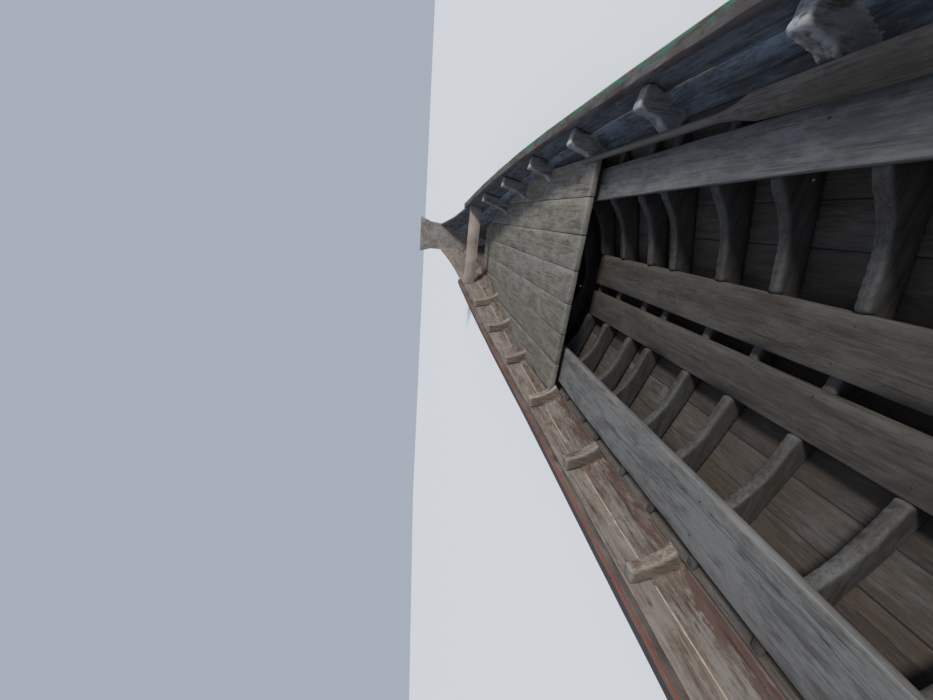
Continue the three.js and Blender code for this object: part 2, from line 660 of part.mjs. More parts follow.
// Drive: tube, fin and propeller
add('shaft_tube', rod([SHAFT.from, 0, SHAFT.axis], [engineAft - FIT, 0, SHAFT.axis], 48, 16)
  .add(rod([SHAFT.to, 0, SHAFT.axis], [SHAFT.from + 1, 0, SHAFT.axis], SHAFT.radius, 16)),
FINISH.steel, drive);
const finTop = SHAFT.axis - SHAFT.radius - FIT;
add('propeller_fin', platesXZ([[SHAFT.to + 40, finTop], [SHAFT.to + 320, finTop],
  [SHAFT.to + 130, finTop - 150], [SHAFT.to - 40, finTop - 190], [SHAFT.to + 10, finTop - 60]],
-5, 5), FINISH.steel, drive);

function propeller() {
  const { x, radius, hub, hubHalf, blades } = PROPELLER;
  const body = rod([x - hubHalf, 0, 0], [x + hubHalf, 0, 0], hub * 0.7, 20, hub)
    .add(rod([x + hubHalf - 1, 0, 0], [SHAFT.to - 2 * FIT, 0, 0], 13, 12));
  const blade = loft([[18, -30, 5], [60, -46, 4], [110, -44, 3], [radius, -14, 2]]
    .map(([r, chord, thick]) => [[chord, -thick], [-chord, -thick], [-chord, thick],
      [chord, thick]].map(([c, t]) => {
      const pitch = Math.atan2(120, 2 * Math.PI * r * 0.35);
      return new THREE.Vector3(r, c * Math.cos(pitch) - t * Math.sin(pitch),
        c * Math.sin(pitch) + t * Math.cos(pitch));
    })));
  let all = body;
  for (let n = 0; n < blades; n += 1) {
    const turn = new THREE.Matrix4().makeRotationX((2 * Math.PI * n) / blades)
      .multiply(new THREE.Matrix4().makeBasis(new THREE.Vector3(0, 0, 1),
        new THREE.Vector3(0, 1, 0), new THREE.Vector3(-1, 0, 0)));
    turn.premultiply(new THREE.Matrix4().makeTranslation(x, 0, 0));
    all = all.add(blade.transform(turn.elements));
  }
  return all.translate([0, 0, SHAFT.axis]);
}
add('propeller', propeller(), FINISH.bronze, drive);

export default boat;
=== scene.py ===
import math

import bmesh
import bpy
import numpy as np
from bpy.props import FloatProperty, FloatVectorProperty, PointerProperty
from bpy.types import Operator, Panel, PropertyGroup
from mathutils import Matrix, Vector, noise


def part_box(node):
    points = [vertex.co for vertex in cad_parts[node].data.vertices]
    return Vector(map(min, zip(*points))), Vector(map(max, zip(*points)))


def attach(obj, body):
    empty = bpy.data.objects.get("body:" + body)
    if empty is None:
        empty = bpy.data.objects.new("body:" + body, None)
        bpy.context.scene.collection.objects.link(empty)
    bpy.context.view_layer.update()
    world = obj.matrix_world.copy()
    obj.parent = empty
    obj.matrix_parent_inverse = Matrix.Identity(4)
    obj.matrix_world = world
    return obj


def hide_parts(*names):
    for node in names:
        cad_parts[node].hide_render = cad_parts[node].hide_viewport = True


bl_info = {
    "name": "Longtail boat",
    "version": (1, 0, 0),
    "blender": (4, 5, 0),
    "location": "View3D > Sidebar > Longtail boat",
    "description": "Weathered planks, fastenings and the drive of a longtail boat around its solid frame",
    "category": "Object",
}

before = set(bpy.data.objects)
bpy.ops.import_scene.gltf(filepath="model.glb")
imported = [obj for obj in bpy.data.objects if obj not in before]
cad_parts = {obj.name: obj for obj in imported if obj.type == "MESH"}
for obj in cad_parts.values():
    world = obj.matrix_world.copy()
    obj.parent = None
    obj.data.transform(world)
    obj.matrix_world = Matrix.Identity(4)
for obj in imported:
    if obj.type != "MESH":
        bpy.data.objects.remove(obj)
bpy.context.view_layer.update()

# Stations along the hull, in metres
FRAMES = (
    [-5.062 + 0.245 * n for n in range(20)]
    + [-0.162, 0.112, 0.349, 0.641, 0.814]
    + [1.07 + 0.245 * n for n in range(13)]
)
# How far the frames nearest the eye stand ahead of the solid ones: station and distance
AHEAD = ((-0.3, 0), (-0.2, 0.03), (-0.12, 0.03), (0.07, 0.014), (0.15, 0.014), (0.31, 0.01),
         (0.39, 0.01), (0.6, 0))
SHOWN = [x + np.interp(x, *zip(*AHEAD)) for x in FRAMES]
KNEES = {
    "port": [-4.467 + 0.624 * n for n in range(13)],
    "starboard": [-4.351 + 0.622 * n for n in range(13)],
}
FRAME_SIDED = 0.040
KNEE_SIDED = 0.050
DECK_BEAMS = (1.34, 2.16, 2.95, 3.7)
SIDES = {"port": 1, "starboard": -1}
STRAKES = ["garboard", "bilge_plank", "lower_side_plank", "upper_side_plank", "top_strake"]
DRIVE = Matrix.Translation((-5.34, 0, 0.752)) @ Matrix.Rotation(-math.radians(19), 4, "Y")
CRACK_COLOUR = (0.0115, 0.011, 0.0105)
# Colour that the lower parts of the hull darken towards
LOW_DARKENING_COLOUR = (0.018, 0.014, 0.011)
RUST_COLOURS = (0.03, 0.013, 0.007), (0.12, 0.045, 0.019)


# Shader expressions

class Term:
    """A socket that takes part in an expression."""

    def __init__(self, shade, socket):
        self.shade = shade
        self.socket = socket

    def math(self, operation, *values):
        """A Math node over this and more values."""
        sockets = dict(enumerate(values))
        return self.shade.add("ShaderNodeMath", {"operation": operation}, sockets)["Value"]

    def __add__(self, other):
        return self.math("ADD", self, other)

    def __radd__(self, other):
        return self.math("ADD", other, self)

    def __sub__(self, other):
        return self.math("SUBTRACT", self, other)

    def __rsub__(self, other):
        return self.math("SUBTRACT", other, self)

    def __mul__(self, other):
        return self.math("MULTIPLY", self, other)

    def __rmul__(self, other):
        return self.math("MULTIPLY", other, self)

    def __abs__(self):
        return self.math("ABSOLUTE", self)

    def spread(self, low, high):
        """0 at low and 1 at high, smooth between."""
        sockets = {"Value": self, "From Min": low, "From Max": high}
        settings = {"interpolation_type": "SMOOTHSTEP"}
        return self.shade.add("ShaderNodeMapRange", settings, sockets)["Result"]


class Outlets:
    """The outputs of one node, by name or number."""

    def __init__(self, shade, node):
        self.shade = shade
        self.node = node

    def __getitem__(self, name):
        return Term(self.shade, self.node.outputs[name])


class Shade:
    """A material under construction."""

    def __init__(self, name):
        self.material = bpy.data.materials.new(name)
        self.material.use_nodes = True
        self.tree = self.material.node_tree
        self.surface = self.tree.nodes["Principled BSDF"]

    def add(self, kind, settings=None, sockets=None):
        """A node of any kind: its settings first, then the values or links of its sockets."""
        node = self.tree.nodes.new(kind)
        for key, value in (settings or {}).items():
            setattr(node, key, value)
        for key, value in (sockets or {}).items():
            self.feed(node.inputs[key], value)
        return Outlets(self, node)

    def feed(self, socket, value):
        """Links a term to a socket, or sets the socket's own value."""
        if isinstance(value, Term):
            self.tree.links.new(value.socket, socket)
        elif socket.type == "RGBA":
            socket.default_value = (*value, 1)
        else:
            socket.default_value = value

    def attribute(self, name, outlet="Fac"):
        """What a mesh holds under this name."""
        return self.add("ShaderNodeAttribute", {"attribute_name": name})[outlet]

    def place(self):
        """The point in the boat's frame."""
        return self.add("ShaderNodeTexCoord")["Object"]

    def scaled(self, vector, scale):
        """A vector stretched along its axes."""
        settings = {"operation": "MULTIPLY"}
        return self.add("ShaderNodeVectorMath", settings, {0: vector, 1: scale})["Vector"]

    def split(self, vector):
        """The three parts of a vector."""
        node = self.add("ShaderNodeSeparateXYZ", None, {"Vector": vector})
        return [node[axis] for axis in "XYZ"]

    def noise(self, vector, scale=1.0, detail=4.0, roughness=0.55, distortion=0.0):
        """Cloudy noise from about 0.25 to 0.75."""
        sockets = {"Vector": vector, "Scale": scale, "Detail": detail, "Roughness": roughness,
                   "Distortion": distortion}
        return self.add("ShaderNodeTexNoise", None, sockets)["Fac"]

    def mix(self, factor, first, second, blend="MIX"):
        """One colour over another."""
        settings = {"data_type": "RGBA", "blend_type": blend}
        return self.add("ShaderNodeMix", settings, {0: factor, 6: first, 7: second})[2]

    def bump(self, height, depth, strength):
        """A normal from a height, with its depth in metres."""
        sockets = {"Height": height, "Distance": depth, "Strength": strength}
        return self.add("ShaderNodeBump", None, sockets)["Normal"]

    def finish(self, **sockets):
        """Feeds the surface shader, with underscores for the spaces in socket names."""
        for key, value in sockets.items():
            self.feed(self.surface.inputs[key.replace("_", " ")], value)
        return self.material


# Materials

def timber(name, colours, film_share, stain_share, figure_width, low_darkening, edge, relief,
           roughness=0.8, paint=None, low_stain=0.0, band=None):
    """Weathered wood with its grain along the piece."""
    light, dark, film, *stain = colours
    s = Shade(name)
    grain = s.attribute("grain", "Vector")
    worn = s.attribute("worn")
    _, across, _ = s.split(grain)
    figure = s.noise(s.scaled(grain, (2.4, figure_width, figure_width)), 1, 8, 0.66, 0.9)
    fibres = s.noise(s.scaled(grain, (24, 430, 430)), 1, 4, 0.62)
    streaks = s.noise(s.scaled(grain, (5.5, 120, 120)), 1, 5, 0.64)
    clouds = s.noise(s.scaled(grain, (3.1, 8, 8)), 1, 8, 0.68, 0.5)
    blots = s.noise(s.scaled(grain, (13, 34, 34)), 1, 8, 0.72, 0.5)
    pits = s.noise(s.scaled(grain, (52, 150, 150)), 1, 4, 0.65).spread(0.6, 0.68)
    colour = s.mix((figure * 0.5 + streaks * 0.3 + blots * 0.2).spread(0.34, 0.64), dark, light)
    colour = s.mix(fibres.spread(0.42, 0.72) * 0.45, colour, dark)
    # Grey film where rain and sun have bleached the wood
    limit = 0.62 - 0.28 * film_share
    filmed = (clouds * 0.5 + blots * 0.3 + streaks * 0.2).spread(limit - 0.05, limit + 0.08)
    # More film on faces that look up: partly sun bleaching, partly painted light that lightens the lit
    # tops
    filmed = filmed * (0.55 + 0.45 * s.attribute("sky")) * (0.35 + 0.65 * min(1, film_share + 0.2))
    colour = s.mix(filmed * (1.25 - fibres * 0.6), colour, film)
    if stain:
        field = s.noise(s.scaled(grain, (3.6, 13, 13)), 1.2, 8, 0.72, 0.9) * 0.72 + streaks * 0.28
        limit = 0.66 - 0.25 * stain_share
        if low_stain:
            field = field + (1 - across.spread(0, 0.09)) * low_stain
        colour = s.mix(field.spread(limit, limit + 0.06) * 0.85, colour, stain[0])
    if band:
        start, end, pale = band
        here = across.spread(start, end) * (blots * 0.5 + clouds * 0.5).spread(0.4, 0.56)
        colour = s.mix(here * 0.75, colour, pale)
    colour = s.mix(pits * 0.5, colour, dark)
    # Cracks along the grain
    crack_field = s.noise(s.scaled(grain, (0.9, 58, 58)), 1, 2, 0.5, 0.15)
    open_here = s.noise(s.scaled(grain, (1.7, 13, 13)), 1, 2, 0.5).spread(0.52, 0.6)
    crack = (1 - abs(crack_field - 0.5).spread(0.002, 0.012)) * open_here
    colour = s.mix(crack * 0.8, colour, CRACK_COLOUR)
    # Edges worn to a greyer film, and a brightness of its own for each piece
    grey = sum(film) / 3
    wear = (worn * (0.5 + blots)).spread(0.35, 0.9)
    colour = s.mix(wear * edge, colour, tuple(c * 0.7 + grey * 0.3 for c in film))
    bright = s.attribute("tone") * 0.26 + 0.58
    shade = s.add("ShaderNodeCombineColor", None, {"Red": bright, "Green": bright, "Blue": bright})
    colour = s.mix(1.0, colour, shade["Color"], "MULTIPLY")
    # Darker and browner towards the bottom of the hull
    if low_darkening:
        _, _, height = s.split(s.place())
        low = (1 - (height + blots * 0.12).spread(-0.16, 0.16)) * low_darkening
        colour = s.mix(low, colour, LOW_DARKENING_COLOUR)
    rough = roughness + (figure - 0.5) * 0.25 - filmed * 0.08
    height = figure * 0.45 + fibres * 0.3 + streaks * 0.35 - crack * 1.6 + blots * 0.3 - pits * 0.3
    if paint:
        colour, rough, height = paint(s, grain, worn, colour, rough, height, blots, clouds)
    return s.finish(Base_Color=colour, Roughness=rough, Normal=s.bump(height, 0.0016 * relief, 0.55))


def rail_paint(line, coat, coat_share, outer):
    """Paint on a rail: a line along the inner edge and flaking paint on the cap and outside."""
    def over(s, grain, worn, colour, rough, height, blots, clouds):
        _, across, down = s.split(grain)
        flakes = s.noise(s.scaled(grain, (5, 30, 30)), 1.6, 7, 0.72, 0.5)
        if outer:
            side = (across + (blots - 0.5) * 0.02).spread(0.012, 0.022)
            colour = s.mix(side * 0.93, colour, outer)
            rough = rough - side * 0.12
        if line:
            edge = 1 - (across + (flakes - 0.5) * 0.02).spread(0.006, 0.01)
            edge = edge * (1 - (down + (flakes - 0.5) * 0.02).spread(0.007, 0.013))
            kept = flakes.spread(0.36, 0.5)
            colour = s.mix(edge * kept * 0.85, colour, line)
        if coat:
            limit = 0.66 - 0.3 * coat_share
            inside = (across + (blots - 0.5) * 0.05).spread(0.018, 0.04)
            kept = (flakes * 0.7 + clouds * 0.3 - worn * 0.04).spread(limit, limit + 0.02)
            colour = s.mix(kept * inside, colour, coat)
            height = height + kept * inside * 0.8
            rough = rough - kept * inside * 0.15
        return colour, rough, height
    return over


def flaking_paint(coat, share):
    """Paint that has flaked off part of a hull's outside, less of it near the water."""
    def over(s, grain, worn, colour, rough, height, blots, clouds):
        _, _, up = s.split(s.place())
        flakes = s.noise(s.scaled(grain, (5, 26, 26)), 1.6, 8, 0.74, 0.6)
        limit = 0.66 - 0.3 * share
        field = flakes * 0.65 + clouds * 0.35 - worn * 0.05 + (up - 0.25).spread(-0.25, 0.2) * 0.07
        kept = field.spread(limit, limit + 0.025)
        dull = s.mix(blots.spread(0.35, 0.65), tuple(c * 0.6 for c in coat), coat)
        return s.mix(kept, colour, dull), rough - kept * 0.15, height + kept * 0.7
    return over


def metal(name, colour, roughness, metallic, rust, coat=0.0):
    """Painted or bare metal with rust at its edges and in patches."""
    s = Shade(name)
    place = s.place()
    worn = s.attribute("worn")
    clouds = s.noise(place, 14, 6, 0.65)
    specks = s.noise(place, 90, 5, 0.7)
    limit = 0.72 - 0.22 * rust
    rusted = (clouds * 0.6 + specks * 0.4 + worn * 0.12).spread(limit, limit + 0.06)
    rusty = s.mix(specks.spread(0.35, 0.65), *RUST_COLOURS)
    dirt = s.mix(clouds.spread(0.3, 0.7) * 0.5, colour, tuple(c * 0.5 for c in colour))
    base = s.mix(rusted, dirt, rusty)
    rough = roughness + rusted * (0.9 - roughness) + (specks - 0.5) * 0.15
    return s.finish(Base_Color=base, Roughness=rough, Metallic=(1 - rusted) * metallic,
                    Coat_Weight=coat, Normal=s.bump(specks * 0.4 + rusted * 0.5, 0.0006, 0.5))


def plain(name, colour, roughness, relief, scale):
    """A dull material with a fine uneven surface, such as caulk or rubber."""
    s = Shade(name)
    field = s.noise(s.place(), scale, 5, 0.65)
    base = s.mix(field.spread(0.3, 0.7), tuple(c * 0.72 for c in colour), colour)
    return s.finish(Base_Color=base, Roughness=roughness + (field - 0.5) * 0.2,
                    Normal=s.bump(field, relief, 0.6))


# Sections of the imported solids

_wires = {}


def wire(node):
    """Points and edges of a solid."""
    if node not in _wires:
        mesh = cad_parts[node].data
        points = np.array([v.co for v in mesh.vertices])
        edges = np.array([e.vertices for e in mesh.edges])
        _wires[node] = (points, edges)
    return _wires[node]


def section(node, x):
    """The points, y and z, where a solid's edges cross a plane square to the boat's length."""
    points, edges = wire(node)
    a, b = points[edges[:, 0]], points[edges[:, 1]]
    cut = (a[:, 0] - x) * (b[:, 0] - x) < 0
    a, b = a[cut], b[cut]
    t = ((x - a[:, 0]) / (b[:, 0] - a[:, 0]))[:, None]
    return (a + (b - a) * t)[:, 1:]


def strake_corners(node, x, side):
    """A strake's four corners at x on its own side: inner low, inner high, outer low, outer high."""
    p = section(node, x) * (side, 1)
    if len(p) < 4:
        return None
    centre = p.mean(0)
    _, axes = np.linalg.eigh(np.cov((p - centre).T))
    up = axes[:, 1] * (1 if axes[1, 1] > 0 else -1)
    out = np.array([up[1], -up[0]])
    t, n = (p - centre) @ up, (p - centre) @ out
    picks = [np.argmin(t + n), np.argmax(t - n), np.argmin(t - n), np.argmax(t + n)]
    return p[picks]


LINE_X = np.arange(-5.45, 4.62, 0.06)


def seam_lines(node, side):
    """The corners of a strake along the boat, as an array of x, four corners, y and z."""
    rows = [strake_corners(node, x, side) for x in LINE_X]
    kept = [n for n, row in enumerate(rows) if row is not None]
    return LINE_X[kept], np.array([rows[n] for n in kept])


def corner_at(lines, corner, x):
    """The y and z of one corner of a strake at x, or at many x."""
    stations, corners = lines
    return [np.interp(x, stations, corners[:, corner, c]) for c in (0, 1)]


def wander(*place):
    """Smooth noise from -1 to 1 at a place."""
    return noise.noise(Vector(place))


# Meshes

def read(node):
    """A CAD solid as a bmesh with shared points and whole flat faces."""
    bm = bmesh.new()
    bm.from_mesh(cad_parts[node].data)
    bmesh.ops.remove_doubles(bm, verts=bm.verts, dist=2e-5)
    bmesh.ops.dissolve_limit(bm, angle_limit=math.radians(0.4), verts=bm.verts, edges=bm.edges)
    return bm


def rounded(bm, width, angle=28, segments=2):
    """Rounds every sharp edge."""
    sharp = [e for e in bm.edges if len(e.link_faces) == 2 and e.calc_face_angle(0) > math.radians(angle)]
    bmesh.ops.bevel(bm, geom=sharp, offset=width, offset_type="OFFSET", segments=segments,
                    profile=0.55, affect="EDGES", clamp_overlap=False)
    bmesh.ops.remove_doubles(bm, verts=bm.verts, dist=1e-5)
    return bm


def sliced(bm, axis, step):
    """Cuts a mesh across at even steps, so that it can bend."""
    values = [v.co[axis] for v in bm.verts]
    low, high = min(values), max(values)
    count = max(1, round((high - low) / step))
    normal = Vector([float(k == axis) for k in range(3)])
    for n in range(1, count):
        at = low + (high - low) * n / count
        bmesh.ops.bisect_plane(bm, geom=bm.verts[:] + bm.edges[:] + bm.faces[:], dist=1e-6,
                               plane_co=normal * at, plane_no=normal)
    return bm


def weathered(bm, amount, scale, seed, chips=0.0):
    """Moves the surface in and out by noise, and takes chips off the edges."""
    bm.normal_update()
    moves = []
    for v in bm.verts:
        p = Vector([c * k for c, k in zip(v.co, scale)]) + Vector((seed * 7.3, seed * 3.1, seed))
        move = amount * (noise.noise(p) + 0.5 * noise.noise(p * 2.7))
        if chips:
            bend = sum(e.calc_face_angle(0) for e in v.link_edges if len(e.link_faces) == 2)
            if bend > 0.9:
                move -= chips * max(0, noise.noise(p * 3.1 + Vector((9, 2, 5))) + 0.1)
        moves.append(v.normal * move)
    for v, move in zip(bm.verts, moves):
        v.co += move
    return bm


def placed(name, data):
    """A new object with this data, linked to the scene."""
    thing = bpy.data.objects.new(name, data)
    bpy.context.scene.collection.objects.link(thing)
    return thing


def mesh_of(name, bm, *materials):
    """A mesh with the shape of a bmesh, which it frees."""
    mesh = bpy.data.meshes.new(name)
    bm.to_mesh(mesh)
    bm.free()
    for material in materials:
        mesh.materials.append(material)
    return mesh


def eased(bm, factor):
    """Moves every point towards its neighbours."""
    bmesh.ops.smooth_vert(bm, verts=bm.verts, factor=factor, use_axis_x=True, use_axis_y=True,
                          use_axis_z=True)


def voxelled(bm, size, passes=2):
    """A mesh remade with even faces and soft edges."""
    holder = placed("soft", mesh_of("soft", bm))
    remesh = holder.modifiers.new("remesh", "REMESH")
    remesh.mode = "VOXEL"
    remesh.voxel_size = size
    done = holder.evaluated_get(bpy.context.evaluated_depsgraph_get()).to_mesh()
    made = bmesh.new()
    made.from_mesh(done)
    bpy.data.meshes.remove(holder.data)
    for _ in range(passes):
        eased(made, 0.5)
    return made


def wear_of(bm):
    """How strongly each point stands out, from 0 on flats to 1 on edges."""
    values = []
    for v in bm.verts:
        bend = [e.calc_face_angle_signed(0) for e in v.link_edges if len(e.link_faces) == 2]
        values.append(min(1, max(0, sum(bend)) / 1.1))
    return values


# Order of the axes that puts the grain's own run first
RUNS = {"x": [0, 1, 2], "y": [1, 0, 2], "z": [2, 1, 0]}


def hold(name, bm, materials, *, slot, body="hull", replaces=None, grain="x", offset=0, tone=None,
         smooth=35):
    """Makes a piece of the boat from a bmesh."""
    bmesh.ops.recalc_face_normals(bm, faces=bm.faces)
    bm.normal_update()
    worn = wear_of(bm)
    mesh = mesh_of(name, bm, *materials)
    points = np.array([v.co for v in mesh.vertices])
    places = grain(points) if callable(grain) else points[:, RUNS[grain]]
    places = places + np.array([offset * 3.7, 0, offset * 1.3])
    put = mesh.attributes.new("grain", "FLOAT_VECTOR", "POINT")
    put.data.foreach_set("vector", places.astype(np.float32).ravel())
    if tone is None:
        tone = 0.5 + 0.5 * math.sin(offset * 12.9)
    fields = {
        "worn": worn,
        "tone": tone(points) if callable(tone) else [tone] * len(points),
        # Faces that look up take more film: partly sun bleaching, partly painted light on the lit tops
        "sky": [min(1, max(0, 1.4 * v.normal.z)) for v in mesh.vertices],
    }
    for key, values in fields.items():
        put = mesh.attributes.new(key, "FLOAT", "POINT")
        put.data.foreach_set("value", values)
    mesh.shade_smooth()
    mesh.set_sharp_from_angle(angle=math.radians(smooth))
    piece = placed(name, mesh)
    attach(piece, body)
    if replaces:
        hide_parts(replaces)


def skin(bm, rings):
    """Faces between rings of points, with a lid at both ends."""
    sides = len(rings[0])
    for a, b in zip(rings, rings[1:]):
        for k in range(sides):
            bm.faces.new((a[k], a[(k + 1) % sides], b[(k + 1) % sides], b[k]))
    bm.faces.new(rings[0][::-1])
    bm.faces.new(rings[-1])


def turned_into(bm, at, along, profile, sides):
    """Adds a turned shape from pairs of distance along its axis and radius."""
    profile = [(distance, max(radius, 0.0004)) for distance, radius in profile]
    turn = Vector(along).to_track_quat("Z", "Y").to_matrix()
    circle = [(math.cos(a), math.sin(a)) for a in (2 * math.pi * k / sides for k in range(sides))]
    skin(bm, [[bm.verts.new(Vector(at) + turn @ Vector((radius * c, radius * s, distance)))
               for c, s in circle] for distance, radius in profile])


def tube_into(bm, points, radius, sides=6):
    """Adds a closed tube along points to a bmesh; radius is a number or one for each point."""
    points = [Vector(p) for p in points]
    radii = radius if isinstance(radius, (list, tuple)) else [radius] * len(points)
    rings = []
    for n, p in enumerate(points):
        along = (points[min(n + 1, len(points) - 1)] - points[max(n - 1, 0)]).normalized()
        first = along.cross(Vector((0, 0, 1)))
        if first.length < 0.1:
            first = along.cross(Vector((1, 0, 0)))
        first.normalize()
        second = along.cross(first)
        ring = []
        for k in range(sides):
            turn = 2 * math.pi * (k + 0.5) / sides
            ring.append(bm.verts.new(p + (first * math.cos(turn) + second * math.sin(turn)) * radii[n]))
        rings.append(ring)
    skin(bm, rings)


def dome_into(bm, at, normal, radius, height, sides=8):
    """Adds a low domed head, such as a nail's, standing on a face."""
    turned_into(bm, at, normal, [(-0.6 * height, radius), (0.35 * height, radius),
                                 (0.85 * height, 0.7 * radius)], sides)


def outside(bm, sign):
    """Gives the faces that look out of the hull the second material."""
    bm.normal_update()
    out = Vector((0, 0.7 * sign, -0.7))
    for face in bm.faces:
        face.material_index = int(face.normal.dot(out) > 0.3)


# Finishes

def tint(code):
    """A linear colour from a six-digit code."""
    parts = [int(code[k:k + 2], 16) / 255 for k in (0, 2, 4)]
    return tuple(p / 12.92 if p < 0.04045 else ((p + 0.055) / 1.055) ** 2.4 for p in parts)


HULL_GREEN = tint("2a5c50")
# Timber by name: light, dark, film and stain colours, the shares of film and stain, the figure's
# width, darkening towards the bottom, edge wear, relief, and what only some of them have
TIMBERS = {
    # The port and starboard rows of the side planks, low planks and knees are lit and shaded copies of one
    # timber: the starboard colours are bluer, and the planks' darker, as painted shade
    "side_planks_port": ("8c7f76 463a32 969390 5a3226", 0.55, 0.4, 40, 0.35, 0.35, 1, {}),
    "side_planks_starboard": ("686b71 33363c 8796a8 3c332e", 0.42, 0.3, 40, 0.5, 0.3, 1, {}),
    "low_planks_port": ("7d7067 40332b 8c8a88 4a2a21", 0.42, 0.55, 40, 0.3, 0.35, 1, {"low_stain": 0.09}),
    "low_planks_starboard": ("6b7078 33363c 8798ad 3c332e", 0.4, 0.3, 40, 0.5, 0.3, 1,
                             {"band": (0.085, 0.13, tint("8c9db3"))}),
    "bottom_planks": ("5a5048 2b2622 5f6266 40281e", 0.3, 0.35, 26, 0.55, 0.2, 1, {}),
    "outside_top_port": ("6a5a4f 362c26 7d7a75 4a2a20", 0.35, 0.35, 40, 0.5, 0.3, 1,
                         {"paint": flaking_paint(HULL_GREEN, 0.62)}),
    "outside_top_starboard": ("645a52 332c28 7a7a79 4a2a20", 0.35, 0.35, 40, 0.5, 0.3, 1,
                              {"paint": flaking_paint(HULL_GREEN, 0.55)}),
    "outside_planks": ("5d5048 2f2823 77746f 2c2a24", 0.25, 0.3, 24, 0.6, 0.2, 1, {}),
    # The starboard knees are the shaded copy: their bluer colours are painted shade
    "knee_wood_port": ("7f6a59 3c2e24 94908c 54301f", 0.55, 0.35, 60, 0, 0.5, 1.6, {}),
    "knee_wood_starboard": ("6f675f 37312c b3bac2 46352a", 0.55, 0.25, 60, 0, 0.5, 1.5, {}),
    "frame_wood": ("4d4844 27231f 565a5d 3b2d24", 0.4, 0.25, 36, 0.3, 0.4, 1.5, {}),
    "keel_wood": ("4c443d 26221e 55575a", 0.25, 0, 30, 0.6, 0.2, 1, {}),
    "rail_port": ("6b5a50 38302b 7c7875 5f2d20", 0.35, 0.3, 40, 0, 0.4, 1.4,
                  {"paint": rail_paint(tint("6e3228"), tint("1f5a4c"), 0.16, tint("34302f"))}),
    "rail_starboard": ("6d5d54 352b28 75777a 5c3026", 0.42, 0.55, 46, 0, 0.4, 1.7,
                       {"paint": rail_paint(None, tint("2a6351"), 0.6, None)}),
    "seat_planks": ("6b6c6d 454545 7b7c7d 47423d", 0.5, 0.12, 90, 0, 0.45, 0.6, {"roughness": 0.66}),
    "deck_planks": ("8a857a 4f4a43 929089 4f4239", 0.45, 0.25, 30, 0, 0.4, 1.2, {}),
    "floor_planks": ("463f39 26221f 4c4a46 33291f", 0.4, 0.25, 30, 0, 0.45, 1.2, {}),
    "prow_planks": ("857a6f 4a423b 8b8d90 5a3a2c", 0.45, 0.3, 30, 0, 0.45, 1.3, {}),
    "cross_planks": ("a39180 6a5a4d a5a19b 5a3f2f", 0.4, 0.2, 30, 0, 0.4, 1, {}),
    "beam_wood": ("4e463f 28231f 5d5d5d", 0.3, 0, 30, 0, 0.35, 1, {}),
    "paddle_wood": ("625951 332c27 6f6c68 33271e", 0.4, 0.3, 70, 0, 0.55, 0.8, {"roughness": 0.7}),
}
# Other finishes by name: what makes them, their colour and the rest of its arguments
OTHERS = {
    "caulk": (plain, "a0978a", 0.85, 0.0016, 150),
    "dark_caulk": (plain, "1d1a18", 0.85, 0.0012, 130),
    "nail_iron": (metal, "37322e", 0.65, 0.4, 0.15),
}
_finishes = {}


def finish_named(name):
    """The material with this name, made when it is first wanted."""
    if name not in _finishes:
        if name in OTHERS:
            make, code, *rest = OTHERS[name]
            made = make(name, tint(code), *rest)
        else:
            codes, *shares, extra = TIMBERS[name]
            made = timber(name, [tint(code) for code in codes.split()], *shares, **extra)
        _finishes[name] = made
    return _finishes[name]


def wooden(node, bm, *finishes, **rest):
    """Replaces a CAD piece with a wooden one in one finish or two."""
    hold(node + "_wood", bm, [finish_named(name) for name in finishes], replaces=node, **rest)


# Planking

def strake_grain(node, side):
    """Grain places that follow a strake: along the boat, and across from its lower inner edge."""
    # For the upper side plank, the strake below gives a line that its knees don't break
    upper = node.startswith("upper_side_plank")
    lines = seam_lines(node.replace("upper", "lower") if upper else node, side)

    def places(points):
        low_y, low_z = corner_at(lines, int(upper), points[:, 0])
        y, z = np.abs(points[:, 1]) - low_y, points[:, 2] - low_z
        return np.column_stack([points[:, 0], np.hypot(y, z), y * 0.4])
    return places


def inner_line(side):
    """The inside of the upper planking at any x: half widths and heights of four points."""
    strakes = [seam_lines(strake + side, SIDES[side]) for strake in ("lower_side_plank_", "top_strake_")]

    def at(x):
        return np.array([corner_at(lines, k, x) for lines in strakes for k in (0, 1)])
    return at


def knee_test(side):
    """Tells whether a point belongs to a knee rather than to the strake behind it."""
    inner = inner_line(side)
    rows = {x: inner(x) for x in KNEES[side]}

    def test(point):
        for x, row in rows.items():
            if abs(point[0] - x) < KNEE_SIDED / 2 + 0.011:
                return abs(point[1]) < np.interp(point[2], row[:, 1], row[:, 0]) - 0.005
        return False
    return test


def near_knee(side, x, margin):
    """Tells whether x lies within a margin of a knee."""
    return any(abs(x - knee) < KNEE_SIDED / 2 + margin for knee in KNEES[side])


def length(name, description, default, low, high):
    """A setting that is a length in metres."""
    return FloatProperty(name=name, description=description, default=default, min=low, max=high,
                         unit="LENGTH")


def colour_setting(name, description, default):
    """A setting that is a colour."""
    return FloatVectorProperty(name=name, description=description, default=default, subtype="COLOR",
                               min=0, max=1)


class HullPlanks(PropertyGroup):
    """How rounded, wavy and hewn the hull's timber is."""

    rounding: length("Edge rounding", "Radius of a plank's worn edges", 0.003, 0.0005, 0.01)
    waviness: length("Waviness", "How far a plank's surface wanders", 0.0012, 0, 0.005)
    hewn: length("Hewn surface", "How uneven knees and floor frames are", 0.0018, 0, 0.01)
    facet: length("Timber facets", "Face size of knees and floor frames", 0.009, 0.005, 0.03)


